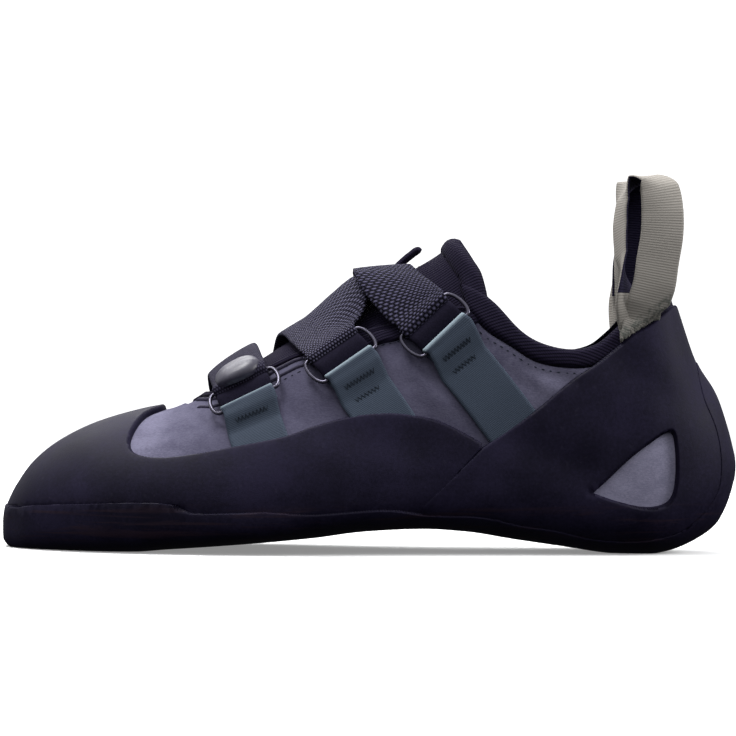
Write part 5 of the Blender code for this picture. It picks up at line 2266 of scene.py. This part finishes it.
@dataclass
class PullLoop:
    """A tape folded into a loop beside the heel's top edge."""

    name: str
    side: Side
    spread_at: float = 0.86
    sink: float = 0.0042
    sink_fade: float = 0.0014

    def build(self) -> None:
        """Make the tape, its foot sunk under the rand."""
        sheet = Sheet()
        Band(eased(self._stations(), 8), LOOP_WIDTH, LOOP_TAPE, 18, backed=True).lay(sheet)
        tucked(sheet, drawn(HEEL_RAND_TOP, HEEL_HEIGHT), self.sink, self.sink_fade)
        outer, inner = (0, 1) if self.side is Side.OUTER else (1, 0)
        for k, face in enumerate(sheet.faces):
            slot = inner if sheet.slots[k] else outer
            if max(sheet.points[spot][2] for spot in face) < PALE_BELOW * PULL_LOOP_HEIGHT:
                slot = 0
            sheet.slots[k] = slot
        piece = sheet.build(f"{self.name}_look", sharp=70.0)
        dress(piece, TAPE_CLOTH, self.name)
        piece.data.materials.append(TAPE_BACK.paint())

    def _middles(self) -> list[Vector]:
        """The middle of the tape at each place of its route.

        Returns:
            The middles.
        """
        sign = self.side.value
        at = self.spread_at * LENGTH
        centre = float(INNER(at) - OUTER(at)) / 2
        middles = []
        for row, ahead in zip(TAPE_ROUTE, FAR_AHEAD):
            z = row.up * PULL_LOOP_HEIGHT
            if row.depth is None:
                ahead = ahead if self.side is Side.INNER else 0.0
                y = centre + sign * row.across * TAPE_SPREAD
                middles.append(Vector((row.at * LENGTH - ahead - LENGTH / 2, y, z)))
            else:
                middles.append(beside(row.at * LENGTH, z, row.depth, self.side))
        return middles

    def _stations(self) -> list[Station]:
        """The tape's cross lines, square to its run.

        Returns:
            The stations.
        """
        sign = self.side.value
        middles = self._middles()
        stations = []
        for k, row in enumerate(TAPE_ROUTE):
            way = (middles[min(k + 1, len(middles) - 1)] - middles[max(k - 1, 0)]).normalized()
            far = self.side is Side.INNER
            swing = math.radians(min(row.swing, FAR_SWING) if far else row.swing)
            rise = math.radians(row.rise)
            across = Vector((math.cos(swing) * math.cos(rise), -sign * math.sin(swing), math.sin(rise)))
            across = (across - way * across.dot(way)).normalized()
            stations.append(Station(middles[k], across, way.cross(across), row.depth,
                                    0.0, 0.0 if row.depth is None else 1.0))
        return stations


@dataclass
class Flap:
    """The upper strap's free end, standing up over the tongue."""

    width: float = FLAP_WIDTH
    thickness: float = FLAP_THICKNESS
    aside: float = FLAP_ASIDE

    def build(self) -> None:
        """Make the free end."""
        route = []
        for mark in FLAP_HOOK:
            x, z = side_place(mark, INSTEP_HEIGHT)
            route.append(Vector((x, self.aside, z)))
        stations = []
        for k, here in enumerate(route):
            way = (route[min(k + 1, len(route) - 1)] - route[max(k - 1, 0)]).normalized()
            stations.append(Station(here, Vector((0, 1, 0)), Vector((-way.z, 0, way.x))))
        sheet = Sheet()
        Band(eased(stations, 4), self.width, self.thickness, 10).lay(sheet)
        dress(sheet.build("strap_end_look", sharp=70.0), BLACK_KNIT, "strap_end")


class Lamp(NamedTuple):
    """A round lamp: its name, its place, its size in metres and its power in watts."""

    name: str
    place: Colour
    size: float
    power: float


LAMPS = (
    Lamp("key", (-0.30, 0.05, 1.00), 0.5, 9.0),
    Lamp("rim", (-0.25, 0.85, 0.85), 0.7, 5.0),
    Lamp("heel_light", (0.95, -0.10, 0.50), 0.5, 6.0),
)
SENSOR = 36.0
STAGE_SIZE = 12.0


@dataclass
class Studio:
    """The white floor, the lights and the camera."""

    distance: float = 1.25
    view_width: float = 0.2622
    aim: tuple[float, float] = (-0.0001, 0.0649)
    roll_degrees: float = 0.405
    below: float = 0.03
    horizon: float = 0.28
    zenith: float = 0.95
    lit_height: float = 0.04
    floor_glow: float = 0.25
    wall_glow: float = 0.9

    def build(self) -> None:
        """Make the floor, the wall, the sky, the lamps and the camera."""
        self._floor()
        self._backdrop()
        self._world()
        for lamp in LAMPS:
            self._light(lamp)
        self._camera()

    def _floor(self) -> None:
        """The white floor, which throws no light on the shoe."""
        bpy.ops.mesh.primitive_plane_add(size=STAGE_SIZE)
        floor = bpy.context.object
        floor.name = "floor"
        p = Painter("floor_white")
        floor.data.materials.append(p.finish(
            Base_Color=(0.95, 0.95, 0.95), Roughness=0.8, Specular_IOR_Level=0.0,
            Emission_Color=(1.0, 1.0, 1.0), Emission_Strength=self.floor_glow))
        floor.visible_diffuse = False
        floor.visible_glossy = False

    def _backdrop(self) -> None:
        """The white wall behind, which throws no light on the shoe."""
        bpy.ops.mesh.primitive_plane_add(size=STAGE_SIZE, location=(0.0, 3.0, 0.0),
                                         rotation=(math.pi / 2, 0.0, 0.0))
        wall = bpy.context.object
        wall.name = "backdrop"
        p = Painter("backdrop_white")
        wall.data.materials.append(p.finish(
            Base_Color=(0.9, 0.9, 0.9), Roughness=1.0, Specular_IOR_Level=0.0,
            Emission_Color=(1.0, 1.0, 1.0), Emission_Strength=self.wall_glow))
        wall.visible_diffuse = False
        wall.visible_glossy = False

    def _world(self) -> None:
        """A soft box overhead: bright above, dimmer towards the horizon, dark below."""
        world = bpy.data.worlds.new("studio_sky")
        world.use_nodes = True
        tree = world.node_tree
        back = tree.nodes["Background"]
        back.inputs["Color"].default_value = (0.97, 0.98, 1.0, 1.0)
        place = tree.nodes.new("ShaderNodeTexCoord")
        parts = tree.nodes.new("ShaderNodeSeparateXYZ")
        tree.links.new(place.outputs["Generated"], parts.inputs[0])
        total = tree.nodes.new("ShaderNodeMath")
        total.operation = "ADD"
        for k, (low, high, dim, bright) in enumerate(((-0.10, 0.05, self.below, self.horizon),
                                                      (0.0, 1.0, 0.0, self.zenith))):
            ramp = tree.nodes.new("ShaderNodeMapRange")
            for name, value in (("From Min", low), ("From Max", high), ("To Min", dim),
                                ("To Max", bright)):
                ramp.inputs[name].default_value = value
            tree.links.new(parts.outputs["Z"], ramp.inputs["Value"])
            tree.links.new(ramp.outputs["Result"], total.inputs[k])
        tree.links.new(total.outputs[0], back.inputs["Strength"])
        bpy.context.scene.world = world

    def _light(self, row: Lamp) -> None:
        """A lamp turned to the shoe.

        Args:
            row: the lamp.
        """
        lamp = bpy.data.lights.new(row.name, "AREA")
        lamp.shape = "DISK"
        lamp.size = row.size
        lamp.energy = row.power
        holder = bpy.data.objects.new(row.name, lamp)
        holder.location = row.place
        way = Vector((0, 0, self.lit_height)) - Vector(row.place)
        holder.rotation_euler = way.to_track_quat("-Z", "Y").to_euler()
        bpy.context.scene.collection.objects.link(holder)

    def _camera(self) -> None:
        """The camera, level with the shoe's middle."""
        lens = bpy.data.cameras.new("camera")
        lens.sensor_width = SENSOR
        lens.lens = SENSOR * self.distance / self.view_width
        lens.clip_end = 50.0
        eye = bpy.data.objects.new("camera", lens)
        eye.location = (self.aim[0], -self.distance, self.aim[1])
        eye.rotation_euler = (math.pi / 2, -math.radians(self.roll_degrees), 0.0)
        bpy.context.scene.collection.objects.link(eye)
        bpy.context.scene.camera = eye


@dataclass
class ShoeScene:
    """The whole picture."""

    def build(self) -> None:
        """Load the frame, put the looks round it and set the stage."""
        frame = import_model()
        board = frame["nodes"]["insole"]
        board.data.materials.clear()
        board.data.materials.append(BOARD.paint())
        Bottom().build()
        Top().build()
        for row, cloth in zip(CLOSURES, (FRONT_CLOTH, MESH_CLOTH, LOOP_CLOTH)):
            Fastening(row, cloth).build()
        PullLoop("pull_loop_lateral", Side.OUTER).build()
        PullLoop("pull_loop_medial", Side.INNER).build()
        Flap().build()
        Studio().build()
        scene = bpy.context.scene
        scene.view_settings.view_transform = "Standard"
        scene.render.resolution_x = 736
        scene.render.resolution_y = 736
        bpy.context.view_layer.update()


def main() -> None:
    """Build the scene with its progress on the log."""
    logging.basicConfig(level=logging.INFO, format="%(message)s", stream=sys.stdout)
    ShoeScene().build()


if __name__ == "__main__":
    main()
